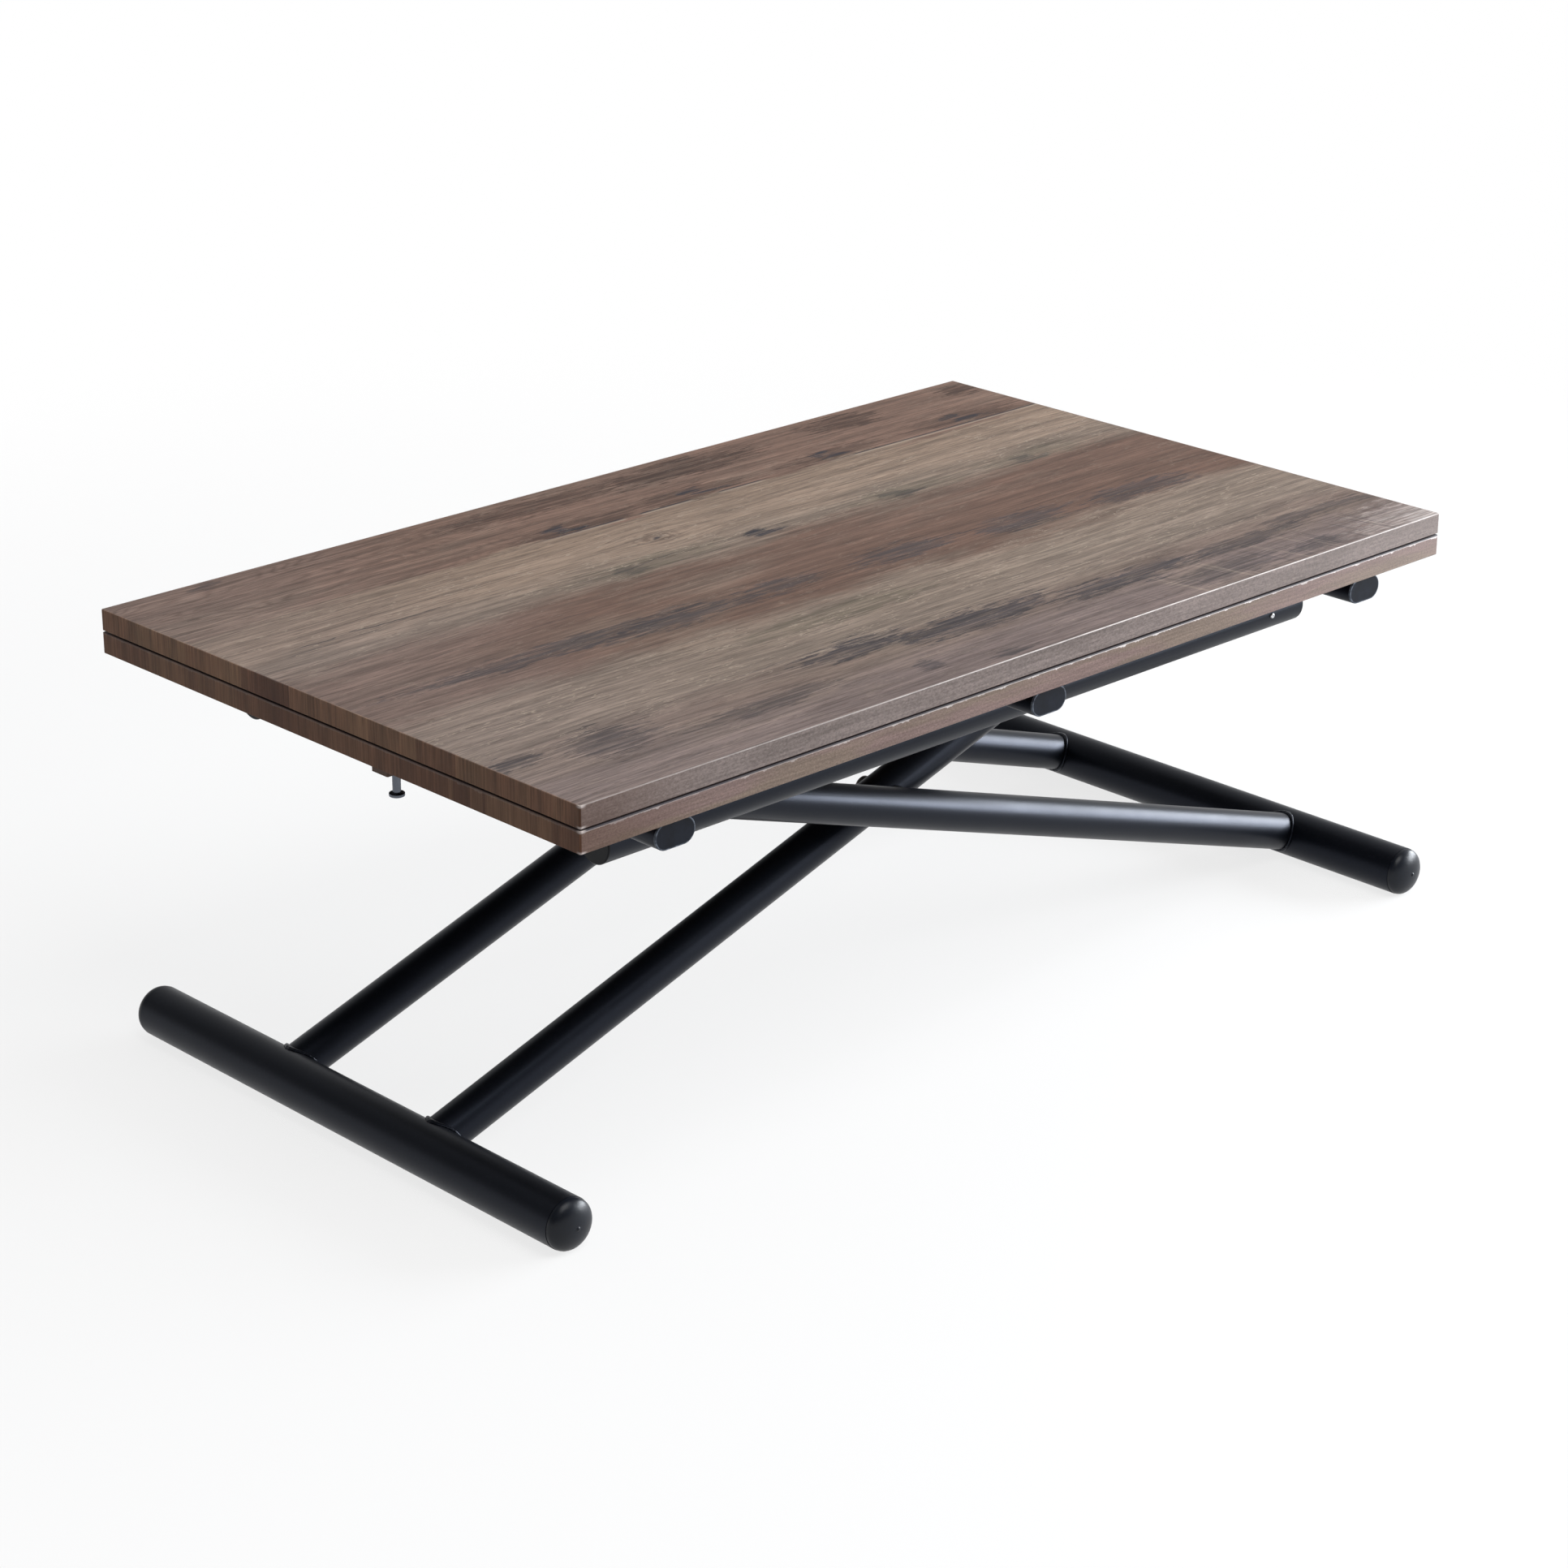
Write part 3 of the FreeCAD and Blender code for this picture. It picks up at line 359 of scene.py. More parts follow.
    def bump(self, height: Socket, depth: float, strength: float) -> Socket:
        """Give a surface relief.

        Args:
            height: the relief, from 0 to 1.
            depth: the relief's depth in metres.
            strength: how strongly it shows.

        Returns:
            The bent normal's socket.
        """
        node = self.add("ShaderNodeBump")
        node.inputs["Strength"].default_value = strength
        node.inputs["Distance"].default_value = depth
        self.feed(node.inputs["Height"], height)
        return node.outputs[0]

    def finish(self, **inputs: object) -> bpy.types.Material:
        """Close the sheet with a surface shader.

        Args:
            inputs: the shader's inputs by name, with spaces written as underscores.

        Returns:
            The finished material.
        """
        shader = self.add("ShaderNodeBsdfPrincipled")
        for name, source in inputs.items():
            self.feed(shader.inputs[name.replace("_", " ")], source)
        output = self.add("ShaderNodeOutputMaterial")
        self.tree.links.new(shader.outputs[0], output.inputs["Surface"])
        return self.owner


class Tone(Enum):
    """Colours of the printed wood, named as a maker would."""

    RED_BROWN = tone("7d6356")
    CHESTNUT = tone("6e5549")
    UMBER = tone("6b5246")
    BLOTCH = tone("4d3930")
    DUNE = tone("958171")
    TAN = tone("8b7767")
    STRAW = tone("86776b")
    SAND = tone("b3a291")
    GREIGE = tone("867669")
    OLIVE = tone("6b6253")
    CLAY = tone("76655c")
    SLATE = tone("453f41")
    INK = tone("323138")
    MAUVE = tone("776864")
    PALE = tone("c8bcb6")
    CHALK = tone("e2dad6")
    WASHED = tone("897a74")
    EDGE_GREY = tone("726762")
    EDGE_PALE = tone("7d716c")
    EDGE_WARM = tone("7d6963")
    EDGE_TAN = tone("7a6a5e")
    END_BROWN = tone("755643")
    END_OLIVE = tone("866a52")
    END_DARK = tone("523629")


@dataclass(frozen=True)
class Plank:
    """One printed plank: where its middle lies across the leaf, and its colour."""

    middle: float
    colour: Tone


@dataclass(frozen=True)
class Spot:
    """A spot on the print.

    Attributes:
        x: its middle along the leaf.
        y: its middle across the leaf.
        half_length: half its size along the leaf.
        half_width: half its size across the leaf.
    """

    x: float
    y: float
    half_length: float
    half_width: float

    def reach(self, sheet: Sheet, x: Socket, y: Socket, spread: float = 1.0) -> Socket:
        """Give the distance from the spot's middle, in its own half sizes.

        Args:
            sheet: the material's node sheet.
            x: the place along the leaf.
            y: the place across the leaf.
            spread: how much larger the spot is taken to be.

        Returns:
            The distance's socket.
        """
        length = spread * self.half_length
        width = spread * self.half_width
        along = sheet.scaled(x, 1 / length, -self.x / length)
        across = sheet.scaled(y, 1 / width, -self.y / width)
        return sheet.distance(along, across)


@dataclass(frozen=True)
class Mark(Spot):
    """One weathered mark or patch of painted sheen, with its colour and how strongly it shows."""

    colour: Tone
    strength: float


@dataclass(frozen=True)
class Knot(Spot):
    """One knot, and how dark it is."""

    strength: float


@dataclass(frozen=True)
class Crack:
    """One fine crack along the grain: where it runs, its half width and how dark it is."""

    y: float
    start: float
    end: float
    half_width: float
    strength: float


def ink_spots(*places: tuple[float, float]) -> tuple[Mark, ...]:
    """Make dark spots of two strokes each, the second a little in front of the first and to its right.

    Args:
        places: the middles of the first strokes, along and across the leaf.

    Returns:
        The strokes in order.
    """
    strokes = []
    for x, y in places:
        strokes.append(Mark(x, y, 0.017, 0.006, Tone.INK, 1.00))
        strokes.append(Mark(x + 0.015, y - 0.010, 0.021, 0.005, Tone.INK, 0.95))
    return tuple(strokes)


PLANKS = (
    Plank(-0.325, Tone.MAUVE),
    Plank(-0.285, Tone.MAUVE),
    Plank(-0.235, Tone.CLAY),
    Plank(-0.185, Tone.STRAW),
    Plank(-0.115, Tone.GREIGE),
    Plank(-0.070, Tone.UMBER),
    Plank(0.000, Tone.CHESTNUT),
    Plank(0.035, Tone.CHESTNUT),
    Plank(0.085, Tone.GREIGE),
    Plank(0.130, Tone.DUNE),
    Plank(0.195, Tone.TAN),
    Plank(0.206, Tone.RED_BROWN),
    Plank(0.240, Tone.RED_BROWN),
    Plank(0.280, Tone.RED_BROWN),
    Plank(0.325, Tone.RED_BROWN),
)

MARKS = (
    Mark(-0.087, 0.291, 0.121, 0.021, Tone.BLOTCH, 0.90),
    Mark(0.108, 0.290, 0.103, 0.025, Tone.BLOTCH, 1.00),
    Mark(0.338, 0.292, 0.053, 0.022, Tone.BLOTCH, 0.98),
    Mark(0.520, 0.296, 0.028, 0.020, Tone.BLOTCH, 0.90),
    Mark(-0.458, 0.312, 0.015, 0.010, Tone.SLATE, 0.74),
    Mark(-0.090, 0.215, 0.086, 0.015, Tone.BLOTCH, 0.74),
    Mark(0.060, 0.219, 0.069, 0.017, Tone.BLOTCH, 0.74),
    Mark(0.250, 0.220, 0.069, 0.017, Tone.BLOTCH, 0.74),
    Mark(0.440, 0.222, 0.081, 0.017, Tone.BLOTCH, 0.74),
    *ink_spots((-0.114, 0.222), (0.056, 0.224), (0.238, 0.226), (0.434, 0.227)),
    *ink_spots((-0.152, 0.088), (0.016, 0.086), (0.196, 0.082), (0.378, 0.080)),
    Mark(-0.120, 0.085, 0.088, 0.018, Tone.OLIVE, 0.65),
    Mark(0.215, 0.082, 0.077, 0.018, Tone.OLIVE, 0.56),
    Mark(0.400, 0.080, 0.083, 0.018, Tone.OLIVE, 0.56),
    Mark(-0.330, -0.036, 0.188, 0.015, Tone.SLATE, 0.81),
    Mark(-0.200, -0.050, 0.100, 0.015, Tone.SLATE, 0.81),
    Mark(-0.070, -0.045, 0.043, 0.018, Tone.SLATE, 0.74),
    Mark(0.080, -0.050, 0.065, 0.020, Tone.SLATE, 0.81),
    Mark(0.230, -0.060, 0.062, 0.020, Tone.SLATE, 0.81),
    Mark(0.390, -0.070, 0.077, 0.020, Tone.SLATE, 0.81),
    Mark(-0.090, -0.135, 0.110, 0.018, Tone.OLIVE, 0.74),
    Mark(0.200, -0.150, 0.120, 0.010, Tone.SAND, 0.25),
    Mark(-0.145, -0.212, 0.070, 0.018, Tone.SLATE, 1.00),
    Mark(-0.010, -0.232, 0.098, 0.021, Tone.SLATE, 1.00),
    Mark(0.170, -0.247, 0.098, 0.018, Tone.SLATE, 1.00),
    Mark(-0.450, -0.235, 0.050, 0.030, Tone.SLATE, 0.81),
    Mark(-0.545, -0.222, 0.030, 0.015, Tone.SLATE, 0.90),
    Mark(0.330, -0.250, 0.088, 0.013, Tone.SLATE, 0.74),
    Mark(0.460, -0.236, 0.088, 0.010, Tone.SLATE, 0.65),
    Mark(-0.300, -0.262, 0.088, 0.013, Tone.SLATE, 0.65),
    Mark(-0.130, -0.288, 0.018, 0.009, Tone.SLATE, 0.81),
    Mark(-0.055, -0.312, 0.025, 0.007, Tone.SLATE, 0.81),
    Mark(0.260, -0.295, 0.069, 0.020, Tone.SLATE, 0.65),
    Mark(0.375, -0.306, 0.037, 0.013, Tone.SLATE, 0.74),
    # Painted light: the last two marks are a painted sheen on the front right corner, not marks on the print.
    Mark(0.545, -0.320, 0.110, 0.050, Tone.PALE, 0.45),
    Mark(0.540, -0.325, 0.050, 0.025, Tone.CHALK, 0.40),
)

CRACKS = (
    Crack(0.119, -0.500, -0.330, 0.8 * MM, 0.85),
    Crack(0.108, -0.562, -0.420, 0.5 * MM, 0.60),
    Crack(0.062, -0.562, -0.380, 0.5 * MM, 0.55),
    Crack(0.020, -0.440, -0.250, 0.5 * MM, 0.50),
    Crack(0.088, -0.230, -0.080, 0.6 * MM, 0.60),
    Crack(0.076, 0.000, 0.100, 0.6 * MM, 0.60),
    Crack(0.074, 0.170, 0.270, 0.6 * MM, 0.60),
    Crack(0.072, 0.350, 0.450, 0.6 * MM, 0.60),
    Crack(-0.196, -0.330, -0.020, 0.7 * MM, 0.45),
    Crack(-0.206, 0.050, 0.530, 0.7 * MM, 0.45),
    Crack(-0.305, -0.540, -0.400, 0.5 * MM, 0.45),
)

KNOTS = (
    Knot(-0.062, 0.137, 0.022, 0.012, 0.80),
    Knot(-0.267, -0.043, 0.014, 0.008, 0.65),
)


@dataclass
class PlankPrint:
    """The wood print on one leaf, whose colour is laid on in layers.

    Attributes:
        sheet: the material's node sheet.
        seed: shifts all the noise to another stretch of it.
        width: the leaf's size across the planks.
        colour: the print so far.
        groove: the mask of the joint between the rear planks.
        scratches: the mask of the scratches.
    """

    sheet: Sheet
    seed: float
    width: float
    colour: Socket | None = None
    groove: Socket | None = None
    scratches: Socket | None = None

    def __post_init__(self) -> None:
        """Lay out the grain, which the knots push aside."""
        self.slow = self.sheet.swing(Grain((1.8, 4.5, 0.0), detail=2.0), self.seed)
        self.grain_place = self.sheet.join(self.sheet.x, self.bend_grain(sway=0.018, spread=2.2, pull=0.7))
        self.fibre = self.noise_along(Grain((15.0, 400.0, 0.0), 0.0, 5.0, 0.7))
        self.streak = self.noise_along(Grain((3.6, 95.0, 0.0), 4.0, 4.0, 0.65))
        self.cloud = self.noise(Grain((3.5, 11.0, 0.0), 8.0, 4.0))

    def noise(self, grain: Grain) -> Socket:
        """Give noise at the leaf's own place."""
        return self.sheet.noise(grain, self.seed)

    def noise_along(self, grain: Grain) -> Socket:
        """Give noise that follows the bent grain."""
        return self.sheet.noise(grain, self.seed, self.grain_place)

    def swing(self, grain: Grain) -> Socket:
        """Give noise that swings to both sides of 0."""
        return self.sheet.swing(grain, self.seed)

    def lay(self, share: Feed, over: Tone) -> None:
        """Lay a colour over the print."""
        self.colour = self.sheet.mix(share, self.colour, over.value)

    def bend_grain(self, sway: float, spread: float, pull: float) -> Socket:
        """Let the grain wander and part round the knots.

        Args:
            sway: how far the grain wanders.
            spread: how far round a knot it is bent, in the knot's half sizes.
            pull: how strongly it is bent there.

        Returns:
            The place across the leaf at which the grain is read.
        """
        sheet = self.sheet
        grain = sheet.scaled(self.slow, sway, sheet.y)
        for knot in KNOTS:
            reach = knot.reach(sheet, sheet.x, sheet.y, spread)
            near = sheet.calc("EXPONENT", sheet.times(reach, reach, -1.0))
            offset = sheet.times(sheet.minus(sheet.y, knot.y), near)
            grain = sheet.scaled(offset, -pull, grain)
        return grain

    def lay_planks(self, sway: float = 0.030, fray: float = 0.085) -> None:
        """Colour the planks, with edges that wander and fray.

        Args:
            sway: how far a plank's edge wanders.
            fray: how far it frays.
        """
        sheet = self.sheet
        frayed = self.swing(Grain((9.0, 45.0, 0.0), 3.1, 5.0, 0.65))
        across = sheet.scaled(frayed, fray, sheet.scaled(self.slow, sway, sheet.y))
        share = sheet.calc("MULTIPLY_ADD", across, 1 / self.width, 0.5, clamp=True)
        stops = [(plank.middle / self.width + 0.5, plank.colour.value) for plank in PLANKS]
        self.colour = sheet.ramp(share, stops)

    def lay_clouds(self, worn_end: float, worn_fade: float = 0.16, wander: float = 0.25) -> None:
        """Lay pale clouds over the planks, and a washed-out left end.

        Args:
            worn_end: where along the leaf the washed-out end fades.
            worn_fade: half the stretch over which it fades.
            wander: how far the clouds shift that place.
        """
        sheet = self.sheet
        self.lay(sheet.step(self.cloud, (0.52, 0.72), end=0.45), Tone.GREIGE)
        place = sheet.scaled(sheet.minus(self.cloud, sheet.NOISE_MIDDLE), wander, sheet.x)
        limits = (worn_end - worn_fade, worn_end + worn_fade)
        self.lay(sheet.step(place, limits, start=0.40, end=0.0), Tone.WASHED)

    def lay_marks(
        self, bend: float = 0.055, sway: float = 0.030, tear: float = 2.8, split: float = 1.4
    ) -> None:
        """Lay the weathered marks and the painted sheen over the planks, with torn edges and the grain
        showing through.

        Args:
            bend: how far a mark's outline is shifted along the leaf.
            sway: how far it is shifted across the leaf.
            tear: how far its edge is torn, in the mark's half sizes.
            split: how far the fibres split its edge, in the same measure.
        """
        sheet = self.sheet
        x = sheet.scaled(self.swing(Grain((20.0, 55.0, 0.0), 11.0)), bend, sheet.x)
        y = sheet.scaled(self.swing(Grain((20.0, 55.0, 0.0), 14.0)), sway, sheet.y)
        ragged = self.noise(Grain((40.0, 240.0, 0.0), 7.3, 5.0, 0.7))
        torn = sheet.scaled(ragged, tear, sheet.scaled(self.fibre, split, -(tear + split) / 2))
        strands = self.noise(Grain((13.0, 330.0, 0.0), 17.0, 4.0, 0.65))
        strands = sheet.step(strands, (0.40, 0.56), start=0.42)
        edge = (0.72, 1.16)
        for mark in MARKS:
            reach = sheet.calc("ADD", mark.reach(sheet, x, y), torn)
            self.lay(sheet.times(sheet.step(reach, edge, mark.strength, 0.0), strands), mark.colour)

    def lay_knots(self, ragged: float = 0.9, ring_rate: float = 12.0) -> None:
        """Draw the knots, with a dark heart and growth rings around it.

        Args:
            ragged: how uneven the rings are, in the knot's half sizes.
            ring_rate: how fast the rings follow each other.
        """
        sheet = self.sheet
        uneven = self.swing(Grain((70.0, 120.0, 0.0)))
        heart = (0.15, 0.50)
        halo = (0.5, 1.8)
        for knot in KNOTS:
            reach = sheet.scaled(uneven, ragged, knot.reach(sheet, sheet.x, sheet.y))
            rings = sheet.scaled(sheet.wave(reach, ring_rate), 0.6, 0.10)
            self.lay(sheet.times(sheet.step(reach, halo, knot.strength, 0.0), rings), Tone.BLOTCH)
            self.lay(sheet.step(reach, heart, knot.strength, 0.0), Tone.INK)

    def lay_flame(self, rate: float = 210.0, strength: float = 0.38) -> None:
        """Draw the fine wavy growth lines of the rear plank's left end.

        Args:
            rate: how close the lines lie.
            strength: how dark they are.
        """
        sheet = self.sheet
        lines = sheet.wave(self.noise(Grain((2.6, 16.0, 0.0), 9.7, 2.0)), rate)
        left = sheet.step(sheet.x, (-0.30, 0.05), start=1.0, end=0.25)
        rear = sheet.step(sheet.y, (0.17, 0.23))
        self.lay(sheet.times(lines, lines, left, rear, strength), Tone.BLOTCH)

    def lay_saw_marks(self, slant: float = 0.25) -> None:
        """Draw the faint saw marks across the front plank's right half.

        Args:
            slant: how far they lean along the leaf for each step across it.
        """
        sheet = self.sheet
        leaning = sheet.join(sheet.scaled(sheet.y, slant, sheet.x), sheet.y)
        strokes = sheet.noise(Grain((210.0, 9.0, 0.0), 2.3), self.seed, leaning)
        right = sheet.step(sheet.x, (0.00, 0.22))
        front = sheet.step(sheet.y, (-0.285, -0.245), start=1.0, end=0.0)
        area = sheet.times(right, front)
        self.lay(sheet.times(sheet.step(strokes, (0.56, 0.68), end=0.24), area), Tone.SAND)
        self.lay(sheet.times(sheet.step(strokes, (0.30, 0.42), start=0.45, end=0.0), area), Tone.SLATE)

    def shade_grain(self, streaks: float = 0.24, fibres: float = 0.36) -> None:
        """Shade the print by its streaks and fibres.

        Args:
            streaks: how strongly the broad streaks show.
            fibres: how strongly the fine fibres show.
        """
        self.colour = self.sheet.shade(self.colour, self.streak, streaks)
        self.colour = self.sheet.shade(self.colour, self.fibre, fibres)

    def lay_scratches(self, strength: float = 0.65, elsewhere: float = 0.25) -> None:
        """Draw the curling scratches of the brushed planks. They are sunk into the relief, and their paleness
        is a painted highlight where the embossed film catches the light.

        Args:
            strength: how pale they are.
            elsewhere: what share of that they have on the other planks.
        """
        sheet = self.sheet
        curl_level = 0.52
        line = sheet.apart(self.noise(Grain((24.0, 150.0, 0.0), 1.9)), curl_level)
        some = sheet.step(self.noise(Grain((24.0, 60.0, 0.0), 6.1, 2.0)), (0.48, 0.56))
        rear = sheet.within(sheet.y, (0.075, 0.185), 0.03)
        front = sheet.within(sheet.y, (-0.21, -0.10), 0.03)
        brushed = sheet.scaled(sheet.calc("MAXIMUM", rear, front), 1.0 - elsewhere, elsewhere)
        self.scratches = sheet.times(some, brushed, sheet.step(line, (0.006, 0.020), strength, 0.0))
        # Painted highlight: the scratches are drawn pale where the embossed film catches the light.
        self.lay(self.scratches, Tone.SAND)

    def lay_cracks(self, wander: float = 0.028, soft: float = 0.5 * MM, run_out: float = 0.01) -> None:
        """Draw the fine dark cracks, which wander along the grain and break off.

        Args:
            wander: how far a crack wanders.
            soft: how soft its sides are.
            run_out: half the stretch over which its ends run out.
        """
        sheet = self.sheet
        across = sheet.scaled(self.swing(Grain((11.0, 3.0, 0.0), 21.0, 4.0)), wander, sheet.y)
        broken = sheet.step(self.noise(Grain((26.0, 4.0, 0.0), 23.0)), (0.40, 0.50))
        for crack in CRACKS:
            sides = (-crack.half_width, crack.half_width)
            line = sheet.within(sheet.minus(across, crack.y), sides, soft)
            run = sheet.within(sheet.x, (crack.start, crack.end), run_out)
            self.lay(sheet.times(line, run, broken, crack.strength), Tone.INK)

    def lay_pores(self) -> None:
        """Draw the fine dark pores along the grain."""
        pores = self.noise_along(Grain((60.0, 900.0, 0.0), 6.0, 2.0))
        self.lay(self.sheet.step(pores, (0.58, 0.70), end=0.50), Tone.BLOTCH)

    def lay_joint(self, y: float, start: float, fade: float = 0.04) -> None:
        """Draw the fine joint between the two rear planks, dark, with a pale lip beside it that is a painted
        highlight on the groove's edge.

        Args:
            y: where across the leaf it runs.
            start: where along the leaf it starts.
            fade: half the stretch over which it starts.
        """
        sheet = self.sheet
        broken = sheet.step(self.noise(Grain((14.0, 2.0, 0.0), detail=2.0)), (0.36, 0.44))
        run = sheet.times(sheet.step(sheet.x, (start - fade, start + fade)), broken)
        offset = sheet.minus(sheet.y, y)
        lip_highlight = sheet.times(sheet.within(offset, (-4.8 * MM, -2.0 * MM), 0.8 * MM), run)
        self.groove = sheet.times(sheet.within(offset, (-1.1 * MM, 1.1 * MM), 0.7 * MM), run)
        # Painted highlight: the pale lip where the groove's edge catches the light.
        self.lay(sheet.times(lip_highlight, 0.60), Tone.SAND)
        self.lay(sheet.times(self.groove, 0.90), Tone.INK)

    def relief(self) -> Socket:
        """Emboss the film by fibres and streaks, with the joint and the scratches sunk in.

        Returns:
            The relief's socket.
        """
        sheet = self.sheet
        raised = sheet.scaled(self.streak, 0.5, sheet.minus(self.fibre, self.groove))
        return sheet.scaled(self.scratches, -0.8, raised)


@dataclass(frozen=True)
class Laminate:
    """Weathered plank print under a satin embossed film, with its planks along the leaf.

    Attributes:
        name: the material's name, which is also its node's.
        seed: shifts the grain to another stretch of it.
        turned: whether the print is laid on turned round.
        rim: how dark the line is that runs round the board, along its edging: painted shade, where the other
            leaf shades the gap between the leaves.
        rim_line: how far in from the edging that line starts and ends.
        width: the leaf's size across the planks.
        joint_y: where the fine joint between the two rear planks runs.
        joint_from: where along the leaf that joint starts.
        worn_end: where along the leaf the greyer end fades out.
        roughness: how matt the film is.
        uneven: how much that changes along the fibres.
        shine: how strongly the film reflects.
        emboss: how deep the film is embossed.
        emboss_strength: how strongly that shows.
    """

    name: str
    seed: float
    turned: bool = False
    rim: float = 0.0
    rim_line: Limits = (2.6 * MM, 1.4 * MM)
    width: float = 0.650
    joint_y: float = 0.2035
    joint_from: float = -0.14
    worn_end: float = -0.36
    roughness: float = 0.62
    uneven: float = 0.16
    shine: float = 0.20
    emboss: float = 0.35 * MM
    emboss_strength: float = 0.70

    def rim_mask(self, sheet: Sheet) -> Socket:
        """Give the mask of the painted shade line that runs round the board.

        Args:
            sheet: the material's node sheet.

        Returns:
            The mask's socket.
        """
        low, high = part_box(self.name)
        sign = -1.0 if self.turned else 1.0
        lines = []
        for place, axis in ((sheet.x, 0), (sheet.y, 1)):
            middle = sign * (low[axis] + high[axis]) / 2
            half = (high[axis] - low[axis]) / 2
            limits = tuple(half - inset for inset in self.rim_line)
            lines.append(sheet.step(sheet.apart(place, middle), limits, 0.0, self.rim))
        return sheet.calc("MAXIMUM", *lines)

    def material(self) -> bpy.types.Material:
        """Print the planks layer by layer and lay the film over them.

        Returns:
            The print's material.
        """
        sheet = Sheet(bpy.data.materials.new(self.name), self.turned)
        wood = PlankPrint(sheet, self.seed, self.width)
        wood.lay_planks()
        wood.lay_clouds(self.worn_end)
        wood.lay_marks()
        wood.lay_knots()
        wood.lay_flame()
        wood.lay_saw_marks()
        wood.shade_grain()
        wood.lay_scratches()
        wood.lay_cracks()
        wood.lay_pores()
        wood.lay_joint(self.joint_y, self.joint_from)
        # Painted shade: a dark line round the board, where the other leaf shades the gap between the leaves.
        wood.lay(self.rim_mask(sheet), Tone.INK)
        return sheet.finish(
            Base_Color=wood.colour,
            Roughness=sheet.scaled(wood.fibre, self.uneven, self.roughness - self.uneven / 2),
            Specular_IOR_Level=self.shine,
            Normal=sheet.bump(wood.relief(), self.emboss, self.emboss_strength),
        )


@dataclass(frozen=True)
class Edging:
    """Printed band round a leaf: grain along the long sides, upright streaks on the short ones.

    Attributes:
        node: the band's node in the frame.
        seed: shifts the grain to another stretch of it.
        side: the long sides' main colour.
        patch: the long sides' second colour.
        line: how far the pale arris reaches below the upper face; it is worn, and also a painted highlight.
        chip: how much further it reaches where the arris is chipped.
        gap_shade: how dark the band's upper face is painted where the other leaf lies on it, as painted shade
            in the gap between the leaves.
        end_dark: how much darker the short sides are made.
        arris_wear_and_highlight: how strongly the upper arris is worn pale and painted as a highlight.
        arris_soft: how softly that pale band ends.
        gap_shade_edge: how far below the upper face the painted shade fades.
        end_wear_and_highlight: what share of the arris's wear and painted highlight the short sides keep, as
            they lie in shade.
        end_gap_shade: what share of that painted shade they keep.
        end_planks: how many printed planks stand to a metre on the short sides.
        roughness: how matt the band is at its brightest.
        uneven: how much that changes along the grain.
        shine: how strongly the band reflects.
        emboss: how deep the band is embossed.
        emboss_strength: how strongly that shows.
    """

    node: str
    seed: float
    side: Tone
    patch: Tone
    line: float
    chip: float
    gap_shade: float = 0.0
    end_dark: float = 0.0
    arris_wear_and_highlight: float = 0.95
    arris_soft: float = 0.3 * MM
    gap_shade_edge: Limits = (0.9 * MM, 1.2 * MM)
    end_wear_and_highlight: float = 0.3
    end_gap_shade: float = 0.45
    end_planks: float = 13.0
    roughness: float = 0.42
    uneven: float = 0.2
    shine: float = 0.15
    emboss: float = 0.15 * MM
    emboss_strength: float = 0.35

    def side_colour(self, sheet: Sheet, fibres: float = 0.18, specks: float = 0.26) -> Socket:
        """Print the long sides: fine streaks along the leaf with speckle over them, darker at the left end,
        and paler towards the right as painted light.

        Args:
            sheet: the material's node sheet.
            fibres: how strongly the streaks show.
            specks: how strongly the speckle shows.

        Returns:
            The colour's socket.
        """
        fibre = sheet.noise(Grain((16.0, 16.0, 520.0), 0.0, 4.0, 0.65), self.seed)
        speck = sheet.noise(Grain((420.0, 420.0, 700.0), 2.0, 3.0, 0.7), self.seed)
        broad = sheet.noise(Grain((7.0, 7.0, 60.0), 4.0, 4.0), self.seed)
        colour = sheet.mix(sheet.step(broad, (0.40, 0.62)), self.side.value, self.patch.value)
        colour = sheet.shade(colour, fibre, fibres)
        colour = sheet.shade(colour, speck, specks)
        left = sheet.step(sheet.x, (-0.56, -0.40), start=0.50, end=0.0)
        # Painted light: the long sides are drawn paler towards the right, where the light falls on them.
        right = sheet.step(sheet.x, (0.05, 0.60), end=0.14)
        return sheet.mix(right, sheet.mix(left, colour, Tone.END_DARK.value), Tone.PALE.value)

    def end_colour(self, sheet: Sheet, stripes: float = 0.26, fibres: float = 0.34) -> Socket:
        """Print the short sides: planks seen on end, with fine upright streaks.

        Args:
            sheet: the material's node sheet.
            stripes: how strongly the broader stripes show.
            fibres: how strongly the fine streaks show.

        Returns:
            The colour's socket.
        """
        upright = sheet.noise(Grain((0.0, 430.0, 16.0), 6.0, 4.0, 0.65), self.seed)
        stripe = sheet.noise(Grain((0.0, 90.0, 6.0), 7.5), self.seed)
        uneven = sheet.noise(Grain((0.0, 16.0, 0.0), 9.0, 2.0), self.seed)
        broad = sheet.noise(Grain((0.0, 14.0, 2.0), 12.0, 4.0), self.seed)
        plank = sheet.calc("FLOOR", sheet.scaled(sheet.y, self.end_planks, sheet.times(uneven, 3.0)))
        share = sheet.scaled(sheet.chance(plank, self.seed), 0.45, sheet.minus(broad, 0.20))
        stops = ((0.12, Tone.END_DARK.value), (0.50, Tone.END_BROWN.value), (0.95, Tone.END_OLIVE.value))
        colour = sheet.ramp(share, stops, "LINEAR")
        colour = sheet.shade(colour, stripe, stripes)
        colour = sheet.shade(colour, upright, fibres)
        return sheet.mix(self.end_dark, colour, Tone.END_DARK.value)

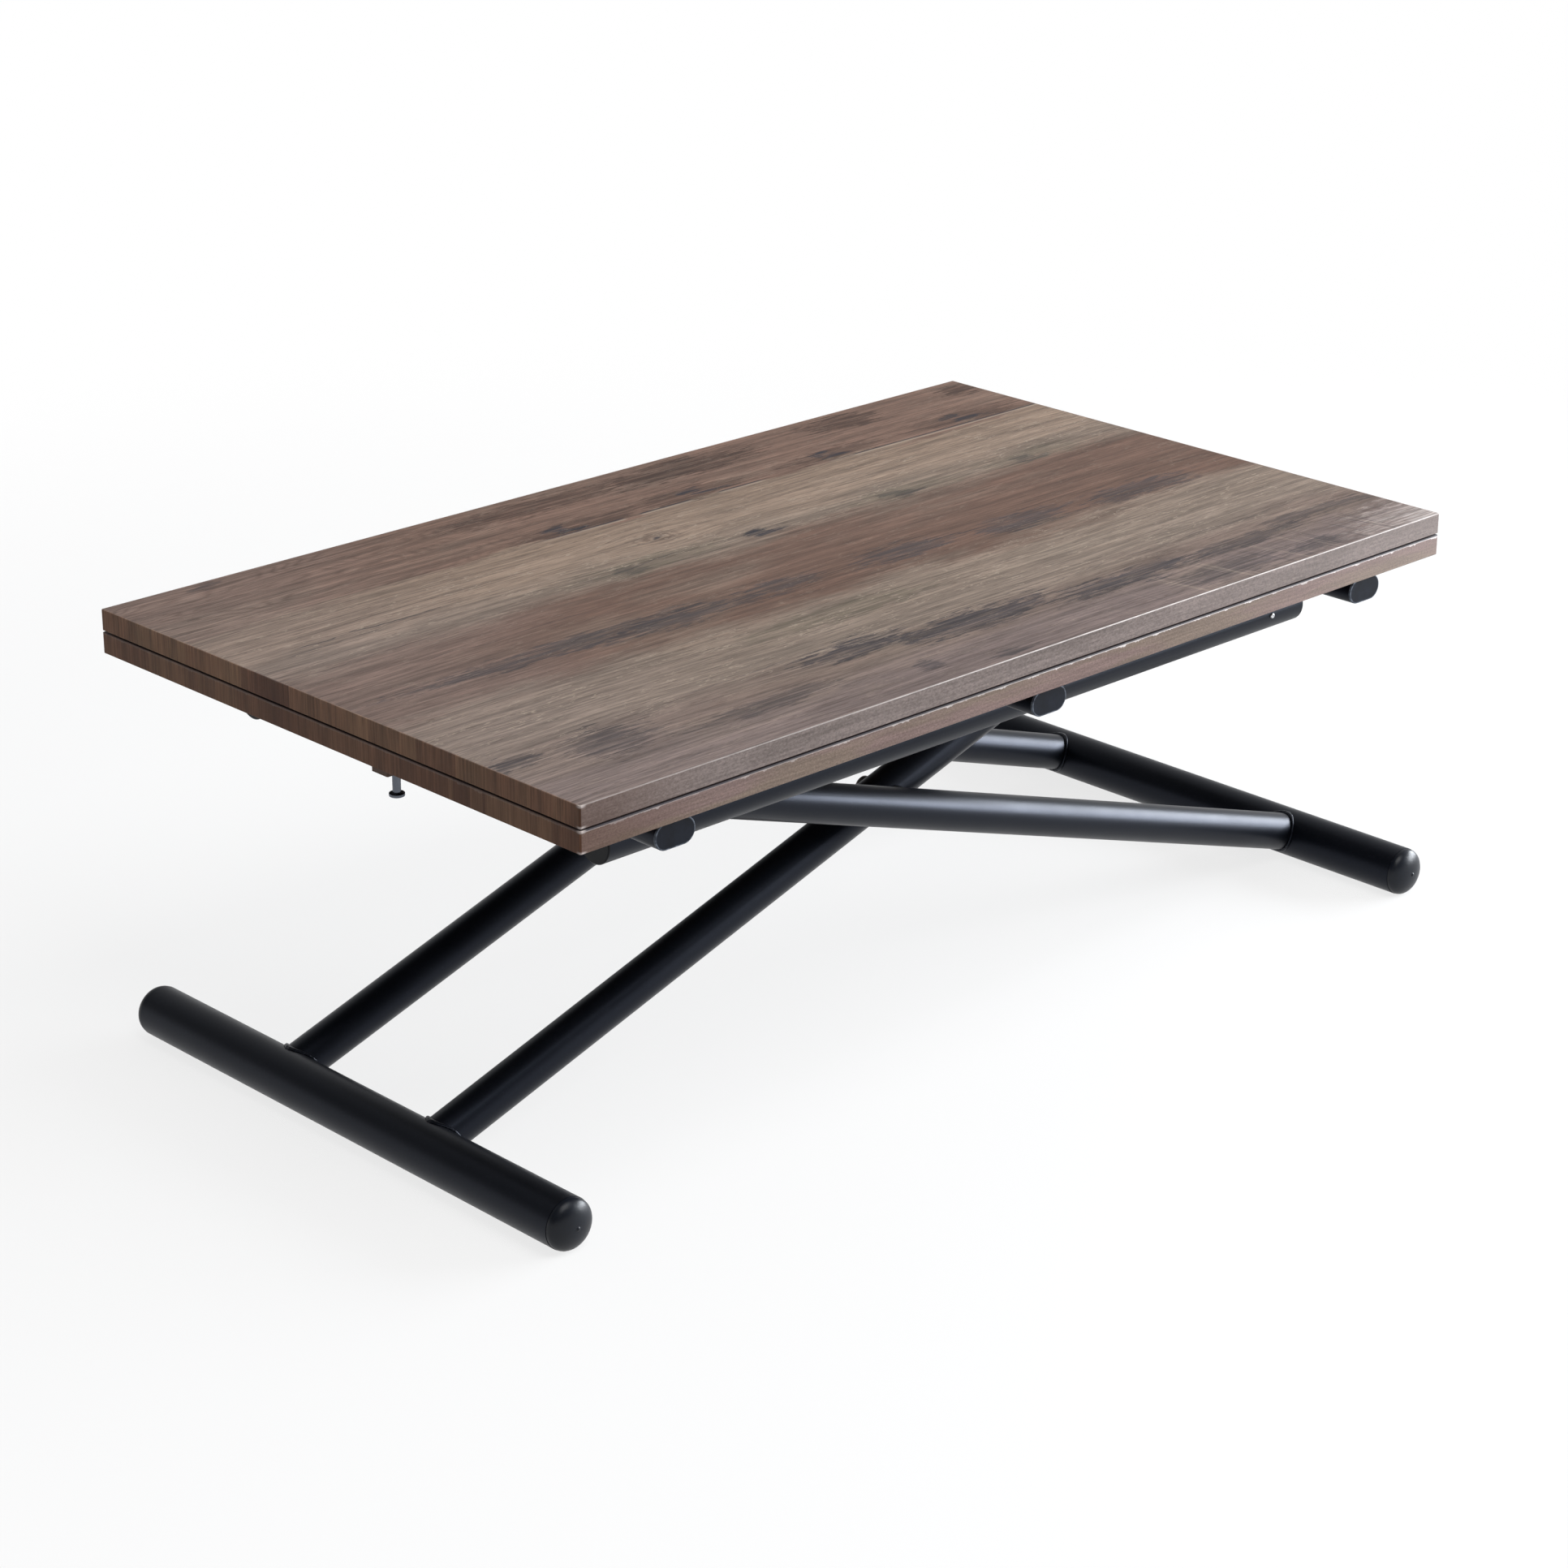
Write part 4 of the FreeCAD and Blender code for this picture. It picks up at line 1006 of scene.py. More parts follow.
    def arris(self, sheet: Sheet, depth: Socket) -> Socket:
        """Give the mask of the upper arris, rubbed pale and chipped, and painted paler towards the right as a
        highlight.

        Args:
            sheet: the material's node sheet.
            depth: how far below the upper face a place lies.

        Returns:
            The mask's socket.
        """
        rubbed = sheet.noise(Grain((38.0, 38.0, 0.0), 1.0, 4.0, 0.65), self.seed)
        rubbed = sheet.step(rubbed, (0.40, 0.60), start=0.70)
        chips = sheet.noise(Grain((70.0, 70.0, 0.0), 3.0, 4.0, 0.7), self.seed)
        worn = sheet.step(chips, (0.50, 0.68), self.line, self.line + self.chip)
        limits = (-self.arris_soft, self.arris_soft)
        pale = sheet.step(sheet.minus(depth, worn), limits, self.arris_wear_and_highlight, 0.0)
        # Painted highlight: the arris is drawn paler towards the right, where the light falls.
        right = sheet.step(sheet.x, (-0.45, 0.10), start=0.35)
        return sheet.times(pale, rubbed, right)

    def corner(self, sheet: Sheet) -> Socket:
        """Give the mask of the front left corner's two worn tips.

        Args:
            sheet: the material's node sheet.

        Returns:
            The mask's socket.
        """
        low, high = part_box(self.node)
        upper = sheet.step(sheet.z, (high.z - 3 * MM, high.z - 1 * MM))
        lower = sheet.step(sheet.z, (low.z + 1 * MM, low.z + 3 * MM), 1.0, 0.0)
        left = sheet.step(sheet.x, (low.x + 2 * MM, low.x + 8 * MM), 1.0, 0.0)
        front = sheet.step(sheet.y, (low.y + 1 * MM, low.y + 6 * MM), 0.9, 0.0)
        return sheet.times(sheet.calc("MAXIMUM", upper, lower), left, front)

    def material(self) -> bpy.types.Material:
        """Print the band, wear its edges, and paint the arris's highlight and the shade in the gap between
        the leaves.

        Returns:
            The band's material.
        """
        sheet = Sheet(bpy.data.materials.new(self.node))
        low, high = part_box(self.node)
        half = (high.x - low.x) / 2
        is_end = sheet.step(sheet.apart(sheet.x, (low.x + high.x) / 2), (half - 1.3 * MM, half - 0.9 * MM))
        depth = sheet.minus(high.z, sheet.z)
        colour = sheet.mix(is_end, self.side_colour(sheet), self.end_colour(sheet))
        # The short sides lie in shade, so they keep only a share of the arris's wear and painted highlight.
        arris = sheet.times(self.arris(sheet, depth), sheet.scaled(is_end, self.end_wear_and_highlight - 1.0, 1.0))
        colour = sheet.mix(arris, colour, Tone.CHALK.value)
        # Painted shade: the band's upper face is darkened in the gap where the other leaf lies on it.
        gap_shade = sheet.step(depth, self.gap_shade_edge, self.gap_shade, 0.0)
        gap_shade = sheet.times(gap_shade, sheet.scaled(is_end, self.end_gap_shade - 1.0, 1.0))
        colour = sheet.mix(gap_shade, colour, Tone.INK.value)
        colour = sheet.mix(self.corner(sheet), colour, Tone.PALE.value)
        grain = sheet.noise(Grain((60.0, 200.0, 500.0)), self.seed)
        return sheet.finish(
            Base_Color=colour,
            Roughness=sheet.scaled(grain, self.uneven, self.roughness),
            Specular_IOR_Level=self.shine,
            Normal=sheet.bump(grain, self.emboss, self.emboss_strength),
        )


def even(waves: float, shift: float, detail: float, rough: float = 0.55) -> Grain:
    """Give a layer of noise that is as fine in every direction."""
    return Grain((waves, waves, waves), shift, detail, rough)


@dataclass(frozen=True)
class PowderCoat:
    """Satin black powder coat on steel, with a fine orange-peel skin.

    Attributes:
        name: the material's name.
        colour: the coat's colour.
        dust_colour: the colour of the dust on it.
        dust: how much of that shows.
        roughness: how matt the coat is.
        uneven: how much that changes from place to place.
        shine: how strongly it reflects.
        tint: the colour of its reflections.
        peel: how strongly the skin's relief shows.
        peel_depth: how deep that relief is.
    """

    name: str
    colour: Colour = tone("0b0d12")
    dust_colour: Colour = tone("23262c")
    dust: float = 0.25
    roughness: float = 0.39
    uneven: float = 0.14
    shine: float = 0.22
    tint: Colour = tone("d3dfff")
    peel: float = 0.25
    peel_depth: float = 0.05 * MM

    def material(self) -> bpy.types.Material:
        """Spray the coat.

        Returns:
            The coat's material.
        """
        sheet = Sheet(bpy.data.materials.new(self.name))
        skin = sheet.noise(even(900.0, 1.0, 2.0))
        patchy = sheet.noise(even(22.0, 4.0, 4.0))
        dusty = sheet.step(sheet.noise(even(340.0, 9.0, 3.0)), (0.55, 0.80), end=self.dust)
        return sheet.finish(
            Base_Color=sheet.mix(dusty, self.colour, self.dust_colour),
            Roughness=sheet.scaled(patchy, self.uneven, self.roughness - self.uneven / 2),
            Specular_IOR_Level=self.shine,
            Specular_Tint=self.tint,
            Normal=sheet.bump(skin, self.peel_depth, self.peel),
        )


@dataclass(frozen=True)
class Moulded:
    """Moulded plastic or nylon with a faint grain.

    Attributes:
        name: the material's name.
        colour: the plastic's colour.
        roughness: how matt it is.
        shine: how strongly it reflects.
        through: how much light passes through it.
        uneven: how much the roughness changes with wear.
        wear: how much the colour changes with wear.
        relief: how strongly the grain's relief shows.
        relief_depth: how deep that relief is.
    """

    name: str
    colour: Colour
    roughness: float
    shine: float = 0.4
    through: float = 0.0
    uneven: float = 0.2
    wear: float = 0.18
    relief: float = 0.2
    relief_depth: float = 0.05 * MM

    def material(self) -> bpy.types.Material:
        """Mould the plastic.

        Returns:
            The plastic's material.
        """
        sheet = Sheet(bpy.data.materials.new(self.name))
        grain = sheet.noise(even(700.0, 2.0, 3.0))
        worn = sheet.noise(even(45.0, 5.0, 4.0))
        return sheet.finish(
            Base_Color=sheet.shade(self.colour, worn, self.wear),
            Roughness=sheet.scaled(worn, self.uneven, self.roughness - self.uneven / 2),
            Specular_IOR_Level=self.shine,
            Transmission_Weight=self.through,
            Normal=sheet.bump(grain, self.relief_depth, self.relief),
        )


@dataclass(frozen=True)
class WornCap:
    """Moulded flat-oval caps in the bars' ends, worn paler along their rims.

    Attributes:
        name: the material's name.
        node: the caps' node in the frame.
        bars: the nodes of the bars that the caps close.
        colour: the plastic's colour.
        rim_colour: the colour of its worn rims.
        rim: how wide the worn rim is.
        roughness: how matt the plastic is at its brightest.
        uneven: how much that changes with wear.
        shine: how strongly it reflects.
        smudge: how uneven its colour is.
        relief: how strongly its grain's relief shows.
        relief_depth: how deep that relief is.
    """

    name: str
    node: str
    bars: tuple[str, ...]
    colour: Colour = tone("11151e")
    rim_colour: Colour = tone("7d8590")
    rim: float = 0.9 * MM
    roughness: float = 0.35
    uneven: float = 0.2
    shine: float = 0.12
    smudge: float = 0.35
    relief: float = 0.3
    relief_depth: float = 0.05 * MM

    def rim_mask(self, sheet: Sheet) -> Socket:
        """Give the mask of the caps' rims, which are half round at both ends.

        Args:
            sheet: the material's node sheet.

        Returns:
            The mask's socket.
        """
        low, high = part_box(self.node)
        radius = (high.z - low.z) / 2
        beyond = 1.0
        for bar in self.bars:
            bar_low, bar_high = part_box(bar)
            straight = (bar_high.x - bar_low.x) / 2 - radius
            offset = sheet.minus(sheet.apart(sheet.x, (bar_low.x + bar_high.x) / 2), straight)
            beyond = sheet.calc("MINIMUM", beyond, sheet.calc("MAXIMUM", offset, 0.0))
        height = sheet.minus(sheet.z, (low.z + high.z) / 2)
        return sheet.step(sheet.distance(beyond, height), (radius - 2 * self.rim, radius - self.rim / 2))

    def material(self) -> bpy.types.Material:
        """Mould the caps and wear their rims.

        Returns:
            The caps' material.
        """
        sheet = Sheet(bpy.data.materials.new(self.name))
        rubbed = sheet.noise(even(220.0, 3.0, 4.0, 0.65))
        smudged = sheet.noise(even(60.0, 8.0, 4.0, 0.65))
        worn = sheet.times(self.rim_mask(sheet), sheet.step(rubbed, (0.35, 0.65), 0.2, 0.9))
        return sheet.finish(
            Base_Color=sheet.mix(worn, sheet.shade(self.colour, smudged, self.smudge), self.rim_colour),
            Roughness=sheet.scaled(rubbed, self.uneven, self.roughness),
            Specular_IOR_Level=self.shine,
            Normal=sheet.bump(rubbed, self.relief_depth, self.relief),
        )


@dataclass(frozen=True)
class Metal:
    """Bare or plated metal with fine drawing lines.

    Attributes:
        name: the material's name.
        colour: the metal's colour.
        roughness: how matt it is at its brightest.
        lines: how many drawing lines there are to a metre along each axis.
        relief: how strongly the lines' relief shows.
        relief_depth: how deep that relief is.
        line_haze: how much more matt the metal is along the lines.
        haze: how much more matt it is in dull places.
        tarnish: how uneven its colour is.
    """

    name: str
    colour: Colour
    roughness: float
    lines: tuple[float, float, float] = (40.0, 900.0, 900.0)
    relief: float = 0.12
    relief_depth: float = 0.02 * MM
    line_haze: float = 0.12
    haze: float = 0.1
    tarnish: float = 0.10

    def material(self) -> bpy.types.Material:
        """Draw the metal.

        Returns:
            The metal's material.
        """
        sheet = Sheet(bpy.data.materials.new(self.name))
        drawn = sheet.noise(Grain(self.lines, 3.0))
        dull = sheet.noise(even(60.0, 6.0, 4.0))
        return sheet.finish(
            Base_Color=sheet.shade(self.colour, dull, self.tarnish),
            Metallic=1.0,
            Roughness=sheet.scaled(drawn, self.line_haze, sheet.scaled(dull, self.haze, self.roughness)),
            Normal=sheet.bump(drawn, self.relief_depth, self.relief),
        )


class Finish(Enum):
    """Finishes of the metal and plastic pieces, each made once and shared."""

    COAT = PowderCoat("black_powder_coat")
    FOOT_CAP = Moulded("foot_cap_plastic", tone("10151e"), 0.36, shine=0.28)
    BAR_CAP = WornCap(
        "bar_cap_plastic", "bar_end_caps", ("cross_bar_left", "cross_bar_middle", "cross_bar_right")
    )
    CAP = Moulded("plug_plastic", tone("0d0f13"), 0.40, shine=0.15)
    LEVER = Moulded("lever_plastic", tone("2c211c"), 0.45)
    NYLON = Moulded("nylon", tone("c9c7bd"), 0.45)
    RUBBER = Moulded("clear_rubber", tone("d8d9d6"), 0.30, through=0.6)
    CHROME = Metal("chrome", tone("b5b7ba"), 0.08)
    KNOB = Metal("knob_chrome", tone("5c6068"), 0.12)
    BRIGHT = Metal("bright_steel", tone("b9b9b8"), 0.22)
    ZINC = Metal("zinc_steel", tone("8c8e8f"), 0.32)

    def dress(self, piece: bpy.types.Object) -> None:
        """Put this finish on a piece."""
        material = bpy.data.materials.get(self.value.name) or self.value.material()
        put_material(piece, material)


def put_material(piece: bpy.types.Object, material: bpy.types.Material) -> None:
    """Give a piece one material all over."""
    piece.data.materials.clear()
    piece.data.materials.append(material)


def fresh(name: str) -> bpy.types.Object:
    """Name the object that an operator has just added.

    Args:
        name: the name for the object and its mesh.

    Returns:
        The object.
    """
    piece = bpy.context.object
    piece.name = name
    piece.data.name = name
    return piece


def deselect() -> None:
    """Deselect every object, and leave edit mode if it is on."""
    if bpy.context.object and bpy.context.object.mode != "OBJECT":
        bpy.ops.object.mode_set(mode="OBJECT")
    bpy.ops.object.select_all(action="DESELECT")


def select_only(piece: bpy.types.Object) -> None:
    """Make one object the selected and active one.

    Args:
        piece: the object.
    """
    deselect()
    piece.select_set(True)
    bpy.context.view_layer.objects.active = piece


def pick_faces(piece: bpy.types.Object, wanted: Callable[[bpy.types.MeshPolygon], bool]) -> None:
    """Select some faces of a piece, and go to edit mode.

    Args:
        piece: the piece.
        wanted: the test that picks the faces.
    """
    select_only(piece)
    bpy.ops.object.mode_set(mode="EDIT")
    bpy.ops.mesh.select_mode(type="FACE")
    bpy.ops.mesh.select_all(action="DESELECT")
    bpy.ops.object.mode_set(mode="OBJECT")
    for face in piece.data.polygons:
        face.select = wanted(face)
    bpy.ops.object.mode_set(mode="EDIT")


def apply_modifier(piece: bpy.types.Object, kind: str, **settings: object) -> None:
    """Add a modifier to a piece, set it and apply it.

    Args:
        piece: the piece.
        kind: the modifier's type.
        settings: its options by name.
    """
    select_only(piece)
    modifier = piece.modifiers.new(kind.lower(), kind)
    for name, setting in settings.items():
        setattr(modifier, name, setting)
    bpy.ops.object.modifier_apply(modifier=modifier.name)


def settle(piece: bpy.types.Object) -> None:
    """Put a piece's place into its mesh, so that its object sits at the origin."""
    select_only(piece)
    bpy.ops.object.transform_apply(location=True, rotation=True, scale=True)


def dress_nodes(coats: dict[str, Finish]) -> None:
    """Put finishes on the frame's own nodes."""
    for node, finish in coats.items():
        finish.dress(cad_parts[node])


def hand_in(piece: bpy.types.Object, body: str, slot: str, *nodes: str) -> None:
    """Let a piece ride on a body, and hide the frame's nodes that it stands for.

    Args:
        piece: the piece.
        body: the body that carries it.
        slot: its material's slot. Not used.
        nodes: the frame's nodes that it stands for.
    """
    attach(piece, body)
    if nodes:
        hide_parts(*nodes)
    log.info("%s rides on %s", piece.name, body)


@dataclass
class CrossHeadScrews:
    """Screws with a domed head and a cross recess, modelled once and copied.

    Attributes:
        name: the group's name.
        head: the head's diameter.
        height: how far the head stands proud.
        places: the middles of the heads' seats.
        facing: the direction in which the heads look.
        sides: how many sides the head has.
        dome: the dome's depth, as a share of the height.
        dome_steps: how many steps it has.
        arris: the width of the broken edges, as a share of the height.
        blade: the cutting blade's length and width, as shares of the head's diameter, and its height, as a
            share of the head's. Half of it stands above the head.
        blade_taper: how narrow the blade is at its foot, as a share of its top.
        turn: how much further each screw is turned than the last, in radians.
        smooth_angle: the angle up to which its faces are shaded as one, in degrees.
    """

    name: str
    head: float
    height: float
    places: list[Vector]
    facing: Vector
    sides: int = 32
    dome: float = 0.45
    dome_steps: int = 3
    arris: float = 0.03
    blade: tuple[float, float, float] = (0.56, 0.13, 1.1)
    blade_taper: float = 0.55
    turn: float = 0.7
    smooth_angle: float = 35.0

    def head_mesh(self) -> bpy.types.Object:
        """Model one head that looks along Z, with its seat at the origin.

        Returns:
            The head.
        """
        deselect()
        bpy.ops.mesh.primitive_cylinder_add(
            vertices=self.sides, radius=self.head / 2, depth=self.height, location=(0, 0, self.height / 2)
        )
        screw = fresh(self.name)
        settle(screw)
        pick_faces(screw, lambda face: face.normal.z > LOOKS_ALONG)
        bpy.ops.mesh.bevel(offset=self.dome * self.height, segments=self.dome_steps, affect="EDGES")
        bpy.ops.object.mode_set(mode="OBJECT")
        self.cut_cross(screw)
        apply_modifier(screw, "BEVEL", width=self.arris * self.height, segments=1, limit_method="ANGLE")
        bpy.ops.object.shade_smooth_by_angle(angle=math.radians(self.smooth_angle))
        return screw

    def cut_cross(self, screw: bpy.types.Object) -> None:
        """Cut the cross recess with two tapered blades.

        Args:
            screw: the head that is cut.
        """
        length, width, depth = self.blade
        for turn in (0.0, math.pi / 2):
            deselect()
            bpy.ops.mesh.primitive_cube_add(size=1.0, location=(0, 0, self.height), rotation=(0, 0, turn))
            blade = fresh("cross_blade")
            blade.scale = (length * self.head, width * self.head, depth * self.height)
            settle(blade)
            pick_faces(blade, lambda face: face.normal.z < -LOOKS_ALONG)
            bpy.ops.transform.resize(value=(self.blade_taper, self.blade_taper, 1.0))
            bpy.ops.object.mode_set(mode="OBJECT")
            apply_modifier(screw, "BOOLEAN", object=blade, operation="DIFFERENCE", solver="EXACT")
            bpy.data.objects.remove(blade)

    def build(self) -> bpy.types.Object:
        """Model the group.

        Returns:
            The group as one piece.
        """
        master = self.head_mesh()
        aim = self.facing.to_track_quat("Z", "Y").to_matrix().to_4x4()
        copies = []
        for index, place in enumerate(self.places):
            copy = master.copy()
            copy.data = master.data.copy()
            bpy.context.collection.objects.link(copy)
            copy.matrix_world = Matrix.Translation(place) @ aim @ Matrix.Rotation(self.turn * index, 4, "Z")
            copies.append(copy)
        bpy.data.objects.remove(master)
        deselect()
        for copy in copies:
            copy.select_set(True)
        bpy.context.view_layer.objects.active = copies[0]
        bpy.ops.object.join()
        group = fresh(self.name)
        settle(group)
        return group


@dataclass
class WeldBeads:
    """Weld beads with an uneven, rippled skin, shaped from the frame's plain ones.

    Attributes:
        node: the plain beads' node in the frame.
        merge: how close two vertices lie that are merged.
        voxel: how fine the new skin is.
        smoothing: how strongly it is smoothed in each pass.
        passes: how often it is smoothed.
        ripple: how high the ripple is.
        ripple_size: how long its waves are.
        ripple_middle: which share of the ripple lies below the plain skin.
    """

    node: str
    merge: float = 0.01 * MM
    voxel: float = 0.7 * MM
    smoothing: float = 0.5
    passes: int = 3
    ripple: float = 0.7 * MM
    ripple_size: float = 2.6 * MM
    ripple_middle: float = 0.25

    def merged_copy(self) -> bpy.types.Object:
        """Copy the node, free of the frame, and merge its loose triangles.

        Returns:
            The copy.
        """
        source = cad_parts[self.node]
        bead = source.copy()
        bead.data = source.data.copy()
        bpy.context.collection.objects.link(bead)
        bead.parent = None
        for key in list(bead.keys()):
            del bead[key]
        bead.name = f"{self.node}_bead"
        select_only(bead)
        bpy.ops.object.mode_set(mode="EDIT")
        bpy.ops.mesh.select_all(action="SELECT")
        bpy.ops.mesh.remove_doubles(threshold=self.merge)
        bpy.ops.object.mode_set(mode="OBJECT")
        return bead

    def build(self) -> bpy.types.Object:
        """Model the beads.

        Returns:
            The beads as one piece.
        """
        bead = self.merged_copy()
        apply_modifier(bead, "REMESH", mode="VOXEL", voxel_size=self.voxel)
        apply_modifier(bead, "SMOOTH", factor=self.smoothing, iterations=self.passes)
        grain = bpy.data.textures.new(f"{self.node}_ripple", "CLOUDS")
        grain.noise_scale = self.ripple_size
        apply_modifier(
            bead,
            "DISPLACE",
            texture=grain,
            texture_coords="GLOBAL",
            strength=self.ripple,
            mid_level=self.ripple_middle,
        )
        bpy.ops.object.shade_smooth()
        return bead


@dataclass
class Leaves:
    """The two leaves with their edging, hinges, bumpers and glides.

    Attributes:
        boards: the print on each board.
        bands: the edging of each board.
        coats: the finishes of the other pieces.
        hinge_screw_head: the diameter of the hinge screws' heads.
        hinge_screw_height: how far these heads stand proud.
        screws_to_plate: how many of them each plate has.
        plate_edge: how far their row lies from the plate's edge.
        shortest_pin: a length that every hinge pin exceeds.
    """

    boards: tuple[Laminate, ...] = (
        Laminate("upper_leaf_board", 2.0),
        Laminate("lower_leaf_board", 21.0, turned=True, rim=0.8),
    )
    bands: tuple[Edging, ...] = (
        Edging("upper_leaf_edging", 2.0, Tone.EDGE_GREY, Tone.EDGE_PALE, line=0.5 * MM, chip=0.2 * MM),
        Edging(
            "lower_leaf_edging",
            21.0,
            Tone.EDGE_WARM,
            Tone.EDGE_TAN,
            line=1.7 * MM,
            chip=1.6 * MM,
            gap_shade=0.9,
            end_dark=0.3,
        ),
    )
    coats: dict[str, Finish] = field(default_factory=lambda: {
        "lower_hinge_plates": Finish.ZINC,
        "upper_hinge_plates": Finish.ZINC,
        "hinge_pins": Finish.BRIGHT,
        "leaf_bumpers": Finish.RUBBER,
        "slide_glides": Finish.NYLON,
    })
    hinge_screw_head: float = 6.4 * MM
    hinge_screw_height: float = 0.5 * MM
    screws_to_plate: int = 3
    plate_edge: float = 9.0 * MM
    shortest_pin: float = 10.0 * MM

    def dress(self) -> None:
        """Put the finishes on the leaves' own nodes."""
        for board, band in zip(self.boards, self.bands):
            put_material(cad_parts[board.name], board.material())
            put_material(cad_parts[band.node], band.material())
        dress_nodes(self.coats)

    def pin_length(self) -> float:
        """Read one hinge's length from the pins' vertices.

        Returns:
            The length.
        """
        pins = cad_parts["hinge_pins"].data
        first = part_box("hinge_pins")[0].x
        places = sorted({round(vertex.co.x, 5) for vertex in pins.vertices})
        return next(place - first for place in places if place - first > self.shortest_pin)

    def hinge_middles(self) -> list[float]:
        """Find the three hinges along the table.

        Returns:
            Their middles.
        """
        low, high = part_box("hinge_pins")
        reach = (high.x - low.x - self.pin_length()) / 2
        middle = (low.x + high.x) / 2
        return [middle - reach, middle, middle + reach]

    def screw_hinges(self) -> None:
        """Model the hinges' screws, in a row on each plate."""
        pitch = self.pin_length() / self.screws_to_plate
        middle_screw = (self.screws_to_plate - 1) / 2
        for leaf, up in (("lower", 1.0), ("upper", -1.0)):
            low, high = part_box(f"{leaf}_leaf_board")
            face = high.z if up > 0 else low.z
            plate_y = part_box(f"{leaf}_hinge_plates")[0].y + self.plate_edge
            places = [
                Vector((middle + (index - middle_screw) * pitch, plate_y, face))
                for middle in self.hinge_middles()
                for index in range(self.screws_to_plate)
            ]
            screws = CrossHeadScrews(
                f"{leaf}_hinge_screws",
                self.hinge_screw_head,
                self.hinge_screw_height,
                places,
                Vector((0, 0, up)),
            ).build()
            Finish.ZINC.dress(screws)
            hand_in(screws, f"{leaf}_leaf", "zinc_steel")

    def build(self) -> None:
        """Dress the leaves and screw on their hinges."""
        self.dress()
        self.screw_hinges()


@dataclass
class ScissorBase:
    """The feet, legs, rails and bars, with their pivots, welds and caps.

    Attributes:
        coats: the pieces' finishes.
        weld_bodies: the welds, with the bodies that carry them.
    """

    coats: dict[str, Finish] = field(default_factory=lambda: {
        "rail_front": Finish.COAT,
        "rail_rear": Finish.COAT,
        "rail_end_plugs": Finish.CAP,
        "cross_bar_left": Finish.COAT,
        "cross_bar_middle": Finish.COAT,
        "cross_bar_right": Finish.COAT,
        "bar_end_caps": Finish.BAR_CAP,
        "fixed_pivot_axle": Finish.BRIGHT,
        "left_foot_tube": Finish.COAT,
        "left_foot_caps": Finish.FOOT_CAP,
        "inner_leg_front": Finish.COAT,
        "inner_leg_rear": Finish.COAT,
        "inner_leg_axle_bushes": Finish.NYLON,
        "inner_leg_end_plugs": Finish.CAP,
        "inner_leg_cross_bushes": Finish.NYLON,
        "right_foot_tube": Finish.COAT,
        "right_foot_caps": Finish.FOOT_CAP,
        "outer_leg_front": Finish.COAT,
        "outer_leg_rear": Finish.COAT,
        "outer_leg_axle_bushes": Finish.NYLON,
        "outer_leg_end_plugs": Finish.CAP,
        "cross_pivot_pins": Finish.ZINC,
        "cross_pivot_spacers": Finish.COAT,
        "cross_pivot_washers": Finish.ZINC,
    })
    weld_bodies: dict[str, str] = field(default_factory=lambda: {
        "left_foot_welds": "inner_legs",
        "right_foot_welds": "outer_legs",
        "frame_welds": "top_frame",
    })

    def weld(self) -> None:
        """Model the weld beads and coat them."""
        for node, body in self.weld_bodies.items():
            bead = WeldBeads(node).build()
            Finish.COAT.dress(bead)
            hand_in(bead, body, "black_steel", node)

    def screw_axle(self) -> None:
        """Model the screws in the fixed axle's ends, on the rails' outer sides."""
        low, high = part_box("axle_end_screws")
        rail_low, rail_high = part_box("rail_front")[0].y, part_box("rail_rear")[1].y
        middle = (low + high) / 2
        for side, seat, end in (("front", rail_low, low.y), ("rear", rail_high, high.y)):
            screw = CrossHeadScrews(
                f"axle_screw_{side}",
                high.z - low.z,
                abs(end - seat),
                [Vector((middle.x, seat, middle.z))],
                Vector((0, end - seat, 0)).normalized(),
            ).build()
            Finish.BRIGHT.dress(screw)
            hand_in(screw, "top_frame", "bright_steel", "axle_end_screws")

    def build(self) -> None:
        """Dress the base, weld it and screw in its axle."""
        dress_nodes(self.coats)
        self.weld()
        self.screw_axle()


@dataclass
class LiftGear:
    """The sliding axle, the gas strut and the release lever with its knob.

    Attributes:
        coats: the pieces' finishes.
    """

    coats: dict[str, Finish] = field(default_factory=lambda: {
        "slider_axle": Finish.BRIGHT,
        "rail_slider_front": Finish.NYLON,
        "rail_slider_rear": Finish.NYLON,
        "carriage_block": Finish.COAT,
        "strut_cylinder": Finish.COAT,
        "strut_rod": Finish.CHROME,
        "strut_rod_nut": Finish.ZINC,
        "strut_bracket": Finish.COAT,
        "lever_pivot_pin": Finish.ZINC,
        "release_lever": Finish.LEVER,
        "release_knob": Finish.KNOB,
    })

    def build(self) -> None:
        """Dress the lift gear."""
        dress_nodes(self.coats)


@dataclass(frozen=True)
class SoftBox:
    """A square studio lamp with a diffuser, out of the camera's sight.

    Attributes:
        name: the lamp's name.
        place: where it hangs.
        aim: the place that it lights.
        size: its width and height.
        power: its power in watts.
        colour: its light's colour.
    """

    name: str
    place: tuple[float, float, float]
    aim: tuple[float, float, float]
    size: tuple[float, float]
    power: float
    colour: tuple[float, float, float] = (1.0, 1.0, 1.0)

    def build(self) -> None:
        """Hang the lamp and turn it to what it lights."""
        lamp = bpy.data.lights.new(self.name, "AREA")
        lamp.shape = "RECTANGLE"
        lamp.size, lamp.size_y = self.size
        lamp.energy = self.power
        lamp.color = self.colour
        holder = bpy.data.objects.new(self.name, lamp)
        bpy.context.scene.collection.objects.link(holder)
        holder.location = self.place
        holder.rotation_euler = (Vector(self.aim) - Vector(self.place)).to_track_quat("-Z", "Y").to_euler()
        holder.visible_camera = False


